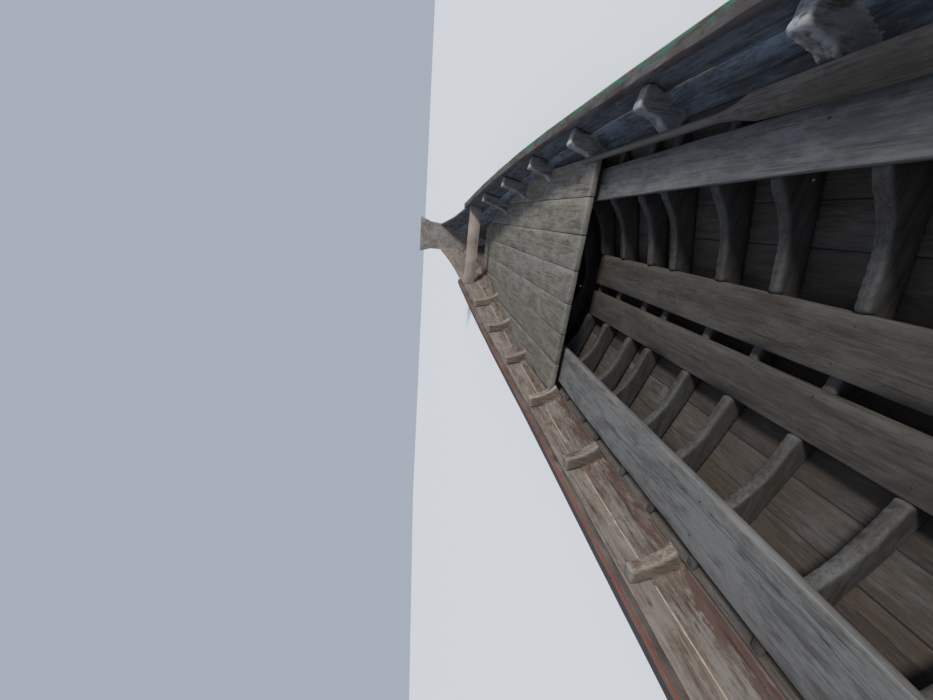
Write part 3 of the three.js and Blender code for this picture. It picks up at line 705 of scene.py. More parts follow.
class BOAT_OT_planking(Operator):
    """Planks the hull, with the knees that stand on the upper side planks"""

    bl_idname = "boat.planking"
    bl_label = "Planking"

    def execute(self, context):
        sizes = context.scene.boat_hull
        for side, sign in SIDES.items():
            for k, strake in enumerate(STRAKES):
                node = strake + "_" + side
                if strake == "upper_side_plank":
                    self.knees(node, side, sizes)
                    continue
                bm = sliced(rounded(read(node), sizes.rounding), 0, 0.07)
                weathered(bm, sizes.waviness, (1.4, 8, 8), 3 * k + sign, chips=0.003)
                outside(bm, sign)
                # The lower side plank takes the dark bottom finish as painted shade, darkening the strip
                # of it that shows between the upper planking and the side seat
                finishes = "bottom_planks", "outside_planks"
                # Each side's top strake takes its own timber; the starboard copy is darker and bluer as
                # painted shade
                if strake == "top_strake":
                    finishes = "side_planks_" + side, "outside_top_" + side
                wooden(node, bm, *finishes, slot="hull_planking", grain=strake_grain(node, sign),
                       offset=2 * k + (1 if sign > 0 else 2))
        return {"FINISHED"}

    def knees(self, node, side, sizes):
        """The upper side plank and its knees, cut from one piece and hewn."""
        test = knee_test(side)
        bm = voxelled(read(node), sizes.facet)
        bm.normal_update()
        for v in bm.verts:
            if test(v.co):
                p = v.co * 9 + Vector((4, 1, 7))
                v.co += v.normal * sizes.hewn * (wander(*p) + 0.2 * wander(*p * 3.7))
            else:
                v.co += v.normal * sizes.waviness * wander(v.co.x * 1.4, v.co.y * 8, v.co.z * 8)

        def nearest(points):
            return np.round(points[:, 0] * 1.6)

        def grain(points):
            return np.column_stack([points[:, 2] + nearest(points) * 1.7, points[:, 0], points[:, 1]])

        def tone(points):
            return 0.75 + 0.35 * np.sin(nearest(points) * 4.1)
        knees = bm.copy()
        for part, keep in ((bm, False), (knees, True)):
            away = [f for f in part.faces if test(f.calc_center_median()) != keep]
            bmesh.ops.delete(part, geom=away, context="FACES")
        outside(bm, SIDES[side])
        # The starboard low planks and knees take the shaded copies, bluer as painted shade
        wooden(node, bm, "low_planks_" + side, "outside_top_" + side, slot="hull_planking",
               grain=strake_grain(node, SIDES[side]), tone=0.45, smooth=50)
        hold("knees_" + side, knees, [finish_named("knee_wood_" + side)], replaces=node,
             slot="hull_planking", grain=grain, tone=tone, smooth=50)


class BOAT_OT_frames(Operator):
    """Hews the floor frames that stand on the keel plank"""

    bl_idname = "boat.frames"
    bl_label = "Keel and floor frames"

    def execute(self, context):
        sizes = context.scene.boat_hull
        for place in ("aft", "middle", "fore"):
            node = "keel_and_floor_frames_" + place
            bm = voxelled(read(node), sizes.facet * (1 if place == "middle" else 1.35), 3)
            self.bend(bm)
            bm.normal_update()
            for v in bm.verts:
                index = int(self.nearest(v.co.x))
                p = v.co * 7 + Vector((index * 3.1, 0, index))
                v.co += v.normal * sizes.hewn * (wander(*p) + 0.4 * wander(*p * 3.3))
            for face in bm.faces:
                face.material_index = int(self.on_frame(face.calc_center_median().x))
            wooden(node, bm, "keel_wood", "frame_wood", slot="dark_timber", grain=self.grain, smooth=50,
                   tone=lambda points: 0.5 + 0.5 * np.sin(self.nearest(points[:, 0]) * 5.7))
        return {"FINISHED"}

    def nearest(self, x):
        """The number of the frame nearest to x, or to each of many x."""
        return np.abs(np.subtract.outer(x, SHOWN)).argmin(-1)

    def on_frame(self, x):
        """Whether x lies on a frame, for one x or many."""
        return np.abs(np.subtract.outer(x, SHOWN)).min(-1) < FRAME_SIDED / 2 + 0.005

    def grain(self, points):
        """Grain places along each frame, and along the keel plank between them."""
        x, y, z = points.T
        framed = self.on_frame(x)
        along = np.where(framed, y * 1.1 + self.nearest(x) * 2.3, x)
        return np.column_stack([along, np.where(framed, x, y), z])

    def bend(self, bm):
        """Turns the arms of the floor frames up to the side seats, and moves some frames ahead."""
        lines = seam_lines("lower_side_plank_port", 1)
        board_edge = 0.205
        seat_under = 0.1035
        for v in bm.verts:
            if min(abs(v.co.x - x) for x in FRAMES) > FRAME_SIDED / 2 + 0.006:
                continue
            part = abs(v.co.y) / corner_at(lines, 1, v.co.x)[0]
            bottom = v.co.z < np.interp(part, (0.1, 0.45, 0.83), (-0.12, -0.06, 0.03))
            lift = np.interp(part, (0.46, 0.53, 0.59, 0.63, 0.67, 0.8, 0.9),
                             (0, 0.012, 0.034, 0.055, 0.066, 0.03, 0))
            if not bottom and abs(v.co.y) > board_edge:
                v.co.z = max(v.co.z, min(seat_under, v.co.z + lift))
            v.co.x += np.interp(v.co.x, *zip(*AHEAD))


class BOAT_OT_rails(Operator):
    """Rails along both edges of the hull"""

    bl_idname = "boat.rails"
    bl_label = "Rails"

    def execute(self, context):
        for side, sign in SIDES.items():
            node = "gunwale_rail_" + side
            bm = sliced(rounded(read(node), 0.003), 0, 0.03)
            weathered(bm, 0.0012, (3, 20, 20), 11 + sign, chips=0.006)
            points, _ = wire(node)
            stations = np.arange(points[:, 0].min() + 0.01, points[:, 0].max(), 0.05)
            rows = [section(node, x) * (sign, 1) for x in stations]
            inner = np.array([row[:, 0].min() for row in rows])
            high = np.array([row[:, 1].max() for row in rows])

            def grain(points, stations=stations, inner=inner, high=high, sign=sign):
                across = points[:, 1] * sign - np.interp(points[:, 0], stations, inner)
                down = np.interp(points[:, 0], stations, high) - points[:, 2]
                return np.column_stack([points[:, 0], across, down])
            wooden(node, bm, "rail_" + side, slot="gunwale_timber", grain=grain, tone=0.5)
        return {"FINISHED"}


class BOAT_OT_boards(Operator):
    """Side seats, floor boards, foredeck, stern deck, beams and the boards at both ends"""

    bl_idname = "boat.boards"
    bl_label = "Seats, decks and boards"

    def execute(self, context):
        # Node, finish, run of the grain, slot, and the steps of the cuts along and across
        rows = [
            ("side_seat_port", "seat_planks", "x", "seat_wood", 0.05, 0.06),
            ("side_seat_starboard", "seat_planks", "x", "seat_wood", 0.05, 0.06),
            ("floor_board_port", "floor_planks", "x", "bare_wood", 0.05, 0.05),
            ("floor_board_starboard", "floor_planks", "x", "bare_wood", 0.05, 0.05),
            ("bow_cross_board", "cross_planks", "y", "prow_wood", 0, 0.05),
            ("stern_beam", "beam_wood", "y", "dark_timber", 0, 0.05),
            ("transom", "outside_planks", "y", "hull_planking", 0, 0.06),
            ("prow_board", "prow_planks", "z", "prow_wood", 0, 0.05),
        ]
        rows += [(f"foredeck_board_{n}", "deck_planks", "x", "deck_wood", 0.05, 0.05)
                 for n in range(1, 8)]
        rows += [(f"stern_deck_board_{n}", "deck_planks", "y", "deck_wood", 0.06, 0.05)
                 for n in range(1, 5)]
        rows += [(f"deck_beam_{n}", "beam_wood", "y", "dark_timber", 0, 0.05) for n in range(1, 5)]
        for count, (node, finish, run, slot, along, across) in enumerate(rows):
            bm = rounded(read(node), 0.0035)
            if along:
                sliced(bm, 0, along)
            sliced(bm, 1, across)
            if node in ("prow_board", "transom"):
                sliced(bm, 2, 0.05)
            scale = {"x": (2.2, 9, 9), "y": (9, 2.2, 9), "z": (9, 9, 2.2)}[run]
            weathered(bm, 0.0013, scale, 20 + count, chips=0.005)
            wooden(node, bm, finish, slot=slot, grain=run, offset=count + 1)
        bm = sliced(read("paddle"), 0, 0.04)
        eased(bm, 0.15)
        weathered(bm, 0.0012, (5, 18, 18), 77)
        wooden("paddle", bm, "paddle_wood", slot="paddle_wood", tone=0.5, smooth=60)
        return {"FINISHED"}


class BOAT_OT_fastenings(Operator):
    """Caulk along the seams, and the nails"""

    bl_idname = "boat.fastenings"
    bl_label = "Caulk and nails"

    def execute(self, context):
        for side, sign in SIDES.items():
            bm = bmesh.new()

            def seam(x, side=side, sign=sign):
                here = wander(x * 2.3, sign * 4, 0) + 0.5 * wander(x * 9, 1, sign)
                return here >= -0.2 - 0.1 * sign and not near_knee(side, x, 0.012)

            def scraps(x, side=side, sign=sign):
                here = wander(x * 5.3, sign * 9, 2) + 0.6 * wander(x * 21, 4, sign)
                return here > 0.16 and not near_knee(side, x, 0.015)
            self.beads(bm, "top_strake_" + side, 0, sign, np.arange(-5.0, 4.55, 0.015), seam, 0)
            self.beads(bm, "lower_side_plank_" + side, 1, sign, np.arange(-4.6, 1.1, 0.012), scraps, 0.001)
            hold("seam_caulk_" + side, bm, [finish_named("caulk")], slot="hull_planking", smooth=80)
        self.bottom_seams()
        self.nails()
        return {"FINISHED"}

    def beads(self, bm, strake, corner, sign, stations, wanted, inset):
        """Caulk along one corner of a strake, in stretches where it is wanted."""
        lines = seam_lines(strake, sign)
        run = []
        for x in [*stations, None]:
            if x is not None and wanted(x):
                y, z = corner_at(lines, corner, x)
                run.append((x, y - inset, z))
                continue
            if len(run) > 3:
                self.bead(bm, run, sign)
            run = []

    def bottom_seams(self):
        """Pitch in the seams of the bottom, and in a rebate along each bilge plank."""
        bm = bmesh.new()
        for side, sign in SIDES.items():
            for strake, share in (("garboard", 1.0), ("bilge_plank", 0.46), ("bilge_plank", 1.0)):
                node = f"{strake}_{side}"
                stations, lines = seam_lines(node, sign)
                points, radii = [], []
                for x, corners in zip(stations[1:-1], lines[1:-1]):
                    row = section(node, x) * (sign, 1)
                    (y0, z0), (y1, z1) = (corners[0] + corners[2]) / 2, (corners[1] + corners[3]) / 2
                    inside = row[row[:, 1] > z0 + (row[:, 0] - y0) * (z1 - z0) / (y1 - y0)]
                    inside = inside[np.argsort(inside[:, 0])]
                    y = corners[0, 0] + (corners[1, 0] - corners[0, 0]) * share
                    z = np.interp(y, inside[:, 0], inside[:, 1])
                    points.append((x, sign * y, z - 0.0004))
                    radii.append(0.0028 + 0.0014 * wander(x * 5, share, sign))
                tube_into(bm, points, radii, 6)
        hold("bottom_seams", bm, [finish_named("dark_caulk")], slot="hull_planking", smooth=80)

    def bead(self, bm, run, sign):
        """One unbroken stretch of caulk, squeezed out of the seam unevenly."""
        points, radii = [], []
        for x, y, z in run:
            lift = wander(x * 17, 3, sign) + wander(x * 47, 5, sign)
            points.append((x, sign * (y - 0.0012), z + 0.0016 * lift))
            radii.append(0.0036 + 0.0032 * wander(x * 38, 8, sign))
        radii[0] = radii[-1] = 0.001
        tube_into(bm, points, radii, 7)

    def nails(self):
        """Nail heads in rails, decks, seats and floor boards."""
        bm = bmesh.new()
        rng = np.random.default_rng(5)
        deck_top, deck_under, seat_top = 0.206, 0.2, 0.136
        seats_end = 1.0
        head_radius, head_height = 0.0038, 0.0016

        def nail(x, y, z):
            jitter = rng.uniform(-0.008, 0.008, 2)
            dome_into(bm, (x + jitter[0], y + jitter[1], z), (0, 0, 1), head_radius, head_height)
        for beam in DECK_BEAMS:
            row = inner_line("port")(beam)
            half = np.interp(deck_under, row[:, 1], row[:, 0])
            for n in range(1, 8):
                low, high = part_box(f"foredeck_board_{n}")
                if not low.x + 0.05 < beam < high.x - 0.02:
                    continue
                for y in (low.y + 0.035, high.y - 0.035):
                    if abs(y) < half - 0.03:
                        nail(beam, y, deck_top)
        for side, sign in SIDES.items():
            for x in np.arange(-5.3, 3.7, 0.31):
                row = section("gunwale_rail_" + side, x) * (sign, 1)
                across = 0.022 + 0.012 * (int(x * 10) % 2)
                nail(x, sign * (row[:, 0].min() + across), row[:, 1].max() - 0.0003)
            for x in KNEES[side]:
                if x < seats_end:
                    y = sign * (0.60 if x > -2.5 else 0.56)
                    nail(x + 0.01, y - 0.08, seat_top)
                    nail(x - 0.012, y + 0.07, seat_top)
        for side in SIDES:
            low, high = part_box("floor_board_" + side)
            for x in SHOWN:
                if low.x + 0.03 < x < high.x - 0.03:
                    nail(x, low.y + 0.03, high.z)
                    nail(x, high.y - 0.03, high.z)
        hold("nails", bm, [finish_named("nail_iron")], slot="steel", smooth=60)


# Drive

MM = 0.001
FORE, AFT = (1, 0, 0), (-1, 0, 0)
PORT, STARBOARD = (0, 1, 0), (0, -1, 0)
UP = (0, 0, 1)
# Heights of the shaft's and the flywheel's axis over the tilt axle
SHAFT_HEIGHT = 140
FLYWHEEL_HEIGHT = 176


class Metalwork:
    """One piece of the drive under construction, measured in mm."""

    # Material and slot by the name of a paint, filled in when the drive is built
    paints = {}

    def __init__(self, bm=None):
        self.bm = bm or bmesh.new()

    def box(self, low, high):
        """A box between two corners."""
        low, high = Vector(low) * MM, Vector(high) * MM
        place = Matrix.Translation((low + high) / 2) @ Matrix.Diagonal((*(high - low), 1))
        bmesh.ops.create_cube(self.bm, size=1, matrix=place)

    def turned(self, at, along, profile, sides=28):
        """A turned shape from pairs of distance along its axis and radius."""
        pairs = [(distance * MM, radius * MM) for distance, radius in profile]
        turned_into(self.bm, Vector(at) * MM, along, pairs, sides)

    def tube(self, points, radius, sides=8):
        """A closed tube along points; radius is a number or one for each point."""
        radii = [r * MM for r in radius] if isinstance(radius, list) else radius * MM
        tube_into(self.bm, [Vector(p) * MM for p in points], radii, sides)

    def bolt(self, at, along, radius):
        """A washer and a hexagon head."""
        self.turned(at, along, [(-2, 1.55 * radius), (1.6, 1.55 * radius), (2, 1.4 * radius)], 18)
        self.turned(at, along, [(1, radius), (0.7 * radius, radius), (0.82 * radius, 0.86 * radius)], 6)

    def bolt_rows(self, places, across, height, radius):
        """Upright bolts on both sides, at places along the engine."""
        for x in places:
            for side in (-1, 1):
                self.bolt((x, side * across, height), UP, radius)

    def bolt_circle(self, at, along, reach, count, radius):
        """Bolts round an axis that runs fore and aft or across."""
        for k in range(count):
            angle = 2 * math.pi * (k + 0.5) / count
            side = reach * math.cos(angle)
            spot = Vector((side * abs(along[1]), side * abs(along[0]), reach * math.sin(angle)))
            self.bolt(Vector(at) + spot, along, radius)

    def put(self, name, paint, replaces=None, body="drive", smooth=32):
        """Makes the piece; what the drive carries was built in the engine's own frame."""
        if body in ("drive", "propeller"):
            self.bm.transform(DRIVE)
        finish, slot = self.paints[paint]
        hold(name, self.bm, [finish], body=body, replaces=replaces, slot=slot, smooth=smooth)


def solid(node, width=0.002):
    """A CAD solid of the drive in the engine's own frame, with rounded edges."""
    bm = read(node)
    bm.transform(DRIVE.inverted())
    return Metalwork(rounded(bm, width))


def smoothed(points, steps):
    """Points on a soft curve through others."""
    points = [Vector(p) for p in points]
    curve = []
    for n in range(len(points) - 1):
        a, b, c = points[max(n - 1, 0)], points[n], points[n + 1]
        d = points[min(n + 2, len(points) - 1)]
        for k in range(steps):
            t = k / steps
            curve.append(0.5 * (2 * b + (c - a) * t + (2 * a - 5 * b + 4 * c - d) * t * t
                                + (3 * b - a - 3 * c + d) * t ** 3))
    return curve + [points[-1]]


def swivel():
    """Base plate, pin and fork, in the boat's frame."""
    work = Metalwork(rounded(read("swivel_post"), 0.002))
    low, high = (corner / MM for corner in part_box("swivel_post"))
    top = high.z
    for x in (low.x + 18, high.x - 18):
        for y in (-70, 70):
            work.bolt((x, y, top - 84), UP, 9)
    work.put("swivel_base", "steel", "swivel_post", "hull")
    work = Metalwork(rounded(read("swivel_fork"), 0.0018))
    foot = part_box("swivel_fork")[0].z / MM
    x, _, axle = DRIVE.translation / MM
    work.turned((x, 0, foot + 6), UP, [(0, 37), (2, 39.5), (12, 39.5), (14, 37)])
    work.tube([(x + 37 * math.cos(a), 37 * math.sin(a), top)
               for a in np.linspace(0, 2 * math.pi, 25)], 4)
    work.turned((x + 34, 0, foot + 45), (1, 0, 0.2), [(0, 6), (6, 6), (8, 3.5), (14, 3.5), (16, 2)], 10)
    for side in (-1, 1):
        work.turned((x, side * 128.5, axle), (0, side, 0), [(0, 24), (3, 22)])
    work.put("swivel_yoke", "steel", "swivel_fork", "turret")


def cradle():
    """Rails under the engine, with the tilt axle and its nuts."""
    work = solid("engine_cradle")
    for side in (-1, 1):
        for profile, sides in (([(-1, 19), (11, 19), (13, 17)], 6), ([(0, 11), (16, 11), (18, 9)], 14)):
            work.turned((0, side * 133.5, 0), (0, side, 0), profile, sides)
    work.bolt_rows((-205, 385), 99.5, 44.8, 8)
    work.bolt_rows((-215,), 31, 139.5, 7)
    work.put("cradle_rails", "steel", "engine_cradle")


def engine():
    """The cast crankcase, with its feet, covers, plugs and bolts."""
    work = Metalwork()
    work.box((-30, -98, 52), (318, 98, 262))
    work.box((-40, -120, 45.5), (330, 120, 62))
    work.box((-5, -102, 255), (235, 102, 284))
    work.box((300, -88, 70), (330, 88, 275))
    for x in (20, 85, 215, 275):
        for inner, outer in ((-118, -90), (90, 118)):
            work.box((x - 6, inner, 50), (x + 6, outer, 90))
    for z in (100, 140, 180, 220):
        work.box((-38, -80, z), (-20, 80, z + 10))
    work.turned((150, 90, 158), PORT, [(0, 88), (14, 88), (18, 84), (19, 52), (26, 46), (27, 0)], 40)
    work.turned((150, -90, 158), STARBOARD, [(0, 78), (12, 78), (16, 72), (24, 50), (26, 0)], 40)
    work.turned((-20, 0, SHAFT_HEIGHT), AFT, [(0, 62), (16, 62), (20.5, 56)], 36)
    work.bm = voxelled(work.bm, 0.0045, 3)
    work.put("crankcase", "engine", "engine_block", smooth=50)
    work = Metalwork()
    work.bolt_circle((150, 108, 158), PORT, 72, 8, 6)
    work.bolt_circle((150, -108, 158), STARBOARD, 62, 6, 6)
    work.bolt_rows((-20, 50, 245, 310), 108, 62, 8)
    work.bolt_rows((12, 215), 92, 284, 6.5)
    work.bolt((45, 98, 82), PORT, 9)
    work.turned((262, 40, 262), (0.2, 0.2, 1), [(0, 17), (14, 17), (16, 21), (26, 21), (28, 18)], 20)
    work.turned((262, -45, 262), UP, [(0, 8), (16, 8), (18, 12), (24, 12), (26, 9)], 14)
    work.put("engine_bolts", "bright", smooth=40)


def head():
    """The finned head with its cover, bolts and injector line."""
    work = solid("cylinder_head", 0.0012)
    work.box((50, -56, 393), (180, 56, 412))
    work.box((60, -48, 410), (170, 48, 418))
    work.bolt_rows((42, 200), 56, 395, 8)
    work.bolt_rows((64, 166), 50, 412, 5)
    work.put("finned_head", "black", "cylinder_head")
    work = Metalwork()
    work.tube([(200, -30, 360), (216, -30, 362), (232, -34, 345), (240, -50, 310), (240, -70, 288),
               (236, -90, 262)], 3.5)
    work.turned((198, -30, 360), FORE, [(0, 9), (8, 9), (10, 6)], 6)
    work.put("injector_line", "bright")


def flywheel():
    """The pressed cover with its ribs, and the starting pulley."""
    work = Metalwork()
    work.turned((330.2, 0, FLYWHEEL_HEIGHT), FORE,
                [(0, 112), (4, 114), (8, 112), (34, 110), (50, 100), (54, 90), (50, 82), (50, 56),
                 (56, 50), (66, 48), (68, 44), (68, 0)], 48)
    for k in range(12):
        rib = Vector((0, math.cos(math.pi * k / 6), math.sin(math.pi * k / 6)))
        work.tube([Vector((381, 0, FLYWHEEL_HEIGHT)) + rib * reach for reach in (58, 80)], 3.2, 6)
    work.bolt_circle((337.5, 0, FLYWHEEL_HEIGHT), FORE, 100, 4, 4)
    work.put("flywheel_shroud", "engine", "flywheel_cover")
    work = Metalwork()
    work.turned((396, 0, FLYWHEEL_HEIGHT), FORE,
                [(0, 40), (4, 40), (7, 30), (11, 30), (14, 40), (18, 40), (19, 12), (24, 12),
                 (25, 0)], 32)
    work.put("starting_pulley", "bright")


def intake():
    """The air cleaner on the port side."""
    work = Metalwork()
    work.turned((110, 85.5, 346), PORT,
                [(0, 34), (4, 34), (5, 26), (26, 26), (27, 54), (30, 58), (44, 58), (46, 60),
                 (50, 60), (52, 57), (100, 57), (102, 60), (107, 60), (112, 52), (114, 16),
                 (118, 14), (119, 0)], 40)
    work.tube([(94, 207, 346), (126, 207, 346)], 3)
    work.put("air_filter", "black", "air_cleaner")


def exhaust():
    """The bent pipe and the silencer on the starboard side."""
    work = Metalwork()
    work.turned((110, -85.5, 330), STARBOARD, [(0, 31), (8, 31), (9, 20)], 24)
    for z in (353, 307):
        work.bolt((110, -93.5, z), STARBOARD, 5)
    work.tube([(110, -88, 330), (110, -110, 330), (107, -136, 333), (100, -150, 344),
               (88, -160, 362), (72, -164, 384), (60, -165, 402)], 16.5, 20)
    start, end = Vector((66, -163.8, 391)), Vector((-40, -172, 560))
    full = (end - start).length
    half = full / 2
    work.turned(start, end - start,
                [(0, 17), (4, 30), (8, 37), (14, 38.5), (18, 37.5), (half - 3, 37.5), (half, 39),
                 (half + 3, 37.5), (full - 18, 37.5), (full - 14, 38.5), (full - 8, 36),
                 (full - 4, 18), (full + 6, 16.5), (full + 6, 13), (full - 20, 13), (full - 20, 0)],
                36)
    work.put("silencer", "black", "exhaust")


def tank():
    """The pressed tank on its feet, with straps, cap and fuel line."""
    work = Metalwork()
    work.box((213, -124, 322), (325, 124, 424))
    bmesh.ops.bevel(work.bm, geom=work.bm.edges[:], offset=0.02, offset_type="OFFSET", segments=5,
                    profile=0.5, affect="EDGES")
    seam = ((231, -126), (307, -126), (327, -106), (327, 106), (307, 126), (231, 126), (211, 106),
            (211, -106), (231, -126))
    work.tube([(x, y, 372) for x, y in seam], 3.2)
    work.turned((269, 60, 422), UP, [(0, 30), (4, 28), (6, 24), (8, 22)])
    work.put("tank_shell", "tank", "fuel_tank", smooth=50)
    work = Metalwork()
    work.turned((269, 60, 428), UP, [(0, 26), (9, 27), (11.5, 25), (12, 12), (13.5, 10)], 24)
    for y in (-75, 75):
        for x in (235, 302):
            work.box((x - 10, y - 15, 285.5), (x + 10, y + 15, 324))
        strap(work, y)
        work.bolt((328.5, y, 340), FORE, 5)
    work.put("tank_straps", "steel")
    work = Metalwork()
    work.tube([(222, 100, 330), (212, 104, 310), (206, 110, 280), (210, 116, 240), (216, 112, 200),
               (212, 104, 176)], 5, 10)
    work.put("fuel_hose", "rubber")


def strap(work, y):
    """A flat strap over the tank, in straight stretches."""
    half_width, thick = 9, 1.5
    path = [(209.5, 325), (209.5, 412), (217.5, 423.5), (228.5, 427.5), (309.5, 427.5),
            (320.5, 423.5), (328.5, 412), (328.5, 325)]
    corners = ((-half_width, 0), (half_width, 0), (half_width, 1), (-half_width, 1))
    for (x0, z0), (x1, z1) in zip(path, path[1:]):
        out = Vector((z1 - z0, 0, x0 - x1)).normalized() * -thick
        skin(work.bm, [[work.bm.verts.new((Vector((x, y + w, z)) + out * k) * MM) for w, k in corners]
                       for x, z in ((x0, z0), (x1, z1))])


def tiller():
    """The long bent bar with its grip, throttle lever and cable."""
    work = Metalwork()
    curve = smoothed([(410, 0, 32), (560, 8, 30), (700, 20, 36), (900, 45, 60), (1100, 58, 84),
                      (1320, 70, 110)], 6)
    work.tube(curve, 15, 16)
    work.turned((400.5, 0, 32), FORE, [(0, 30), (9, 30), (12, 26), (14, 19), (30, 16.5)], 24)
    work.bolt_circle((409.5, 0, 32), FORE, 23, 4, 3)
    lever = Vector((1130, 59.7, 87.5))
    work.turned(lever, (0.98, 0.06, 0.12), [(0, 19.5), (20, 19.5), (22, 17)], 20)
    work.tube([lever + Vector(p) for p in ((10, 12, 12), (18, 28, 34), (60, 36, 48))], [4, 4, 3.2])
    work.put("tiller_bar", "steel", "tiller", smooth=40)
    work = Metalwork()
    start, end = Vector((1190, 63, 94.6)), Vector((1323, 70.2, 110.4))
    full = (end - start).length
    ridges = 14
    profile = [(0, 16.5)]
    for n in range(ridges):
        at = 4 + (full - 10) * n / ridges
        profile += [(at, 18.5), (at + 5, 18.5), (at + 6.5, 17.2)]
    profile += [(full, 19.5), (full + 2, 18), (full + 2, 0)]
    work.turned(start, end - start, profile, 22)
    along_bar = [p + Vector((0, 4, 19)) for p in curve if 500 < p.x < 1130]
    cable = [(300, 20, 290), (360, 30, 310), (415, 20, 250), (440, 10, 120), *along_bar]
    work.tube(smoothed(cable, 3), 3.2)
    work.put("grip_and_cable", "rubber", smooth=40)


def shaft():
    """The tube with its collars, grease caps and end bearing, and the fin under it."""
    work = Metalwork()
    tube, collar = 26, 31
    profile = [(0, 48), (6, 50), (12, 48), (18, 42), (22, 40), (30, 28), (60, tube)]
    for at in (720, 1520, 2320):
        profile += [(at, tube), (at + 2, collar), (at + 32, collar), (at + 34, tube)]
    profile += [(3290, tube), (3300, 33), (3375, 34), (3385, 30), (3389, 20)]
    work.turned((-40.5, 0, SHAFT_HEIGHT), AFT, profile, 32)
    work.bolt_circle((-47, 0, SHAFT_HEIGHT), AFT, 41, 6, 4)
    for x in (-778, -1578, -2378, -3370):
        work.turned((x, 0, 170), UP, [(0, 6), (5, 6), (7, 3.5), (12, 3.5)], 10)
    work.put("long_tube", "steel", "shaft_tube")
    work = solid("propeller_fin", 0.0016)
    low = min(v.co.x for v in work.bm.verts) / MM
    for side in (-1, 1):
        weld = [(low + 80 + 12.5 * n, side * 6, 113.5 + 1.2 * (n % 2)) for n in range(20)]
        work.tube(weld, 3.5)
    work.put("skeg_fin", "steel", "propeller_fin")


def propeller():
    """Hub, nut and three twisted blades."""
    work = Metalwork()
    work.turned((-3430.5, 0, SHAFT_HEIGHT), AFT,
                [(0, 13), (12, 13), (14.5, 30), (30, 31), (75, 27.5), (100, 22), (104, 19),
                 (105.5, 13), (112, 12), (118, 6)], 32)
    # Blade sections: distance from the axis, half chord and half thickness
    sections = [(20, 28, 6.2), (30, 33, 6), (45, 41, 5.3), (62, 47, 4.5), (80, 50, 3.8),
                (98, 49, 3.2), (114, 43, 2.6), (128, 33, 2.1), (138, 21, 1.6), (143.5, 9, 1.1)]
    centre = Vector((-3490, 0, SHAFT_HEIGHT))
    points = 14
    for n in range(3):
        turn = Matrix.Rotation(2 * math.pi * n / 3, 3, "X")
        rings = []
        for radius, chord, thick in sections:
            pitch = math.atan2(120, 2 * math.pi * radius * 0.35)
            ring = []
            for k in range(points):
                angle = 2 * math.pi * k / points
                c, t = chord * math.cos(angle), thick * math.sin(angle)
                t += 0.06 * chord * (1 - (c / chord) ** 2)
                around = c * math.cos(pitch) - t * math.sin(pitch)
                ahead = c * math.sin(pitch) + t * math.cos(pitch)
                spot = centre + turn @ Vector((-ahead, around, radius))
                ring.append(work.bm.verts.new(spot * MM))
            rings.append(ring)
        skin(work.bm, rings)
    work.put("screw", "bronze", "propeller", "propeller", smooth=45)


class DriveLook(PropertyGroup):
    """Colours and wear of the engine and its long shaft."""

    engine: colour_setting("Engine paint", "Colour of the engine's castings", tint("35544a"))
    tank: colour_setting("Tank paint", "Colour of the fuel tank", tint("8e352b"))
    steel: colour_setting("Steel", "Colour of swivel, cradle, shaft and tiller", tint("6a6c6d"))
    bronze: colour_setting("Bronze", "Colour of the propeller", tint("8d7654"))
    rust: FloatProperty(name="Rust", description="Share of the metal that has rusted",
                        default=0.45, min=0, max=1, subtype="FACTOR")


class BOAT_OT_drive(Operator):
    """Swivel, engine, tiller, shaft tube and propeller"""

    bl_idname = "boat.drive"
    bl_label = "Drive"

    def execute(self, context):
        look = context.scene.boat_drive
        rust = look.rust
        Metalwork.paints = {
            "engine": (metal("engine_paint", look.engine, 0.42, 0.1, rust * 0.6, 0.12), "engine_paint"),
            "tank": (metal("tank_paint", look.tank, 0.38, 0.1, rust * 0.55, 0.35), "tank_paint"),
            "steel": (metal("worn_steel", look.steel, 0.5, 0.75, rust), "steel"),
            "black": (metal("black_steel", tint("2b2a29"), 0.55, 0.4, rust * 1.2), "black_steel"),
            "bronze": (metal("bronze", look.bronze, 0.46, 0.85, 0.12), "bronze"),
            "rubber": (plain("black_rubber", tint("242424"), 0.75, 0.0006, 240), "steel"),
            "bright": (metal("plated_steel", tint("9a9a98"), 0.35, 0.9, rust * 0.7), "steel"),
        }
        for build in (swivel, cradle, engine, head, flywheel, intake, exhaust, tank, tiller, shaft,
                      propeller):
            build()
        return {"FINISHED"}


class StageLook(PropertyGroup):
    """The floor, the light and the camera."""

    floor: colour_setting("Floor", "Colour of the floor", (0.62, 0.64, 0.66))
    sky: FloatProperty(name="Sky light", description="Strength of the light from all round",
                       default=0.5, min=0)
    key: FloatProperty(name="Key light", description="Strength of the large lamp", default=3.8, min=0)
    lens: FloatProperty(name="Lens", description="Focal length of the camera in mm",
                        default=13.0, min=5, max=200)


SKY_COLOUR = (0.78, 0.86, 1.0)
LAMP_COLOUR = (1.0, 0.95, 0.88)
LAMP_AIM = Vector((0.38, 0.76, -0.56))


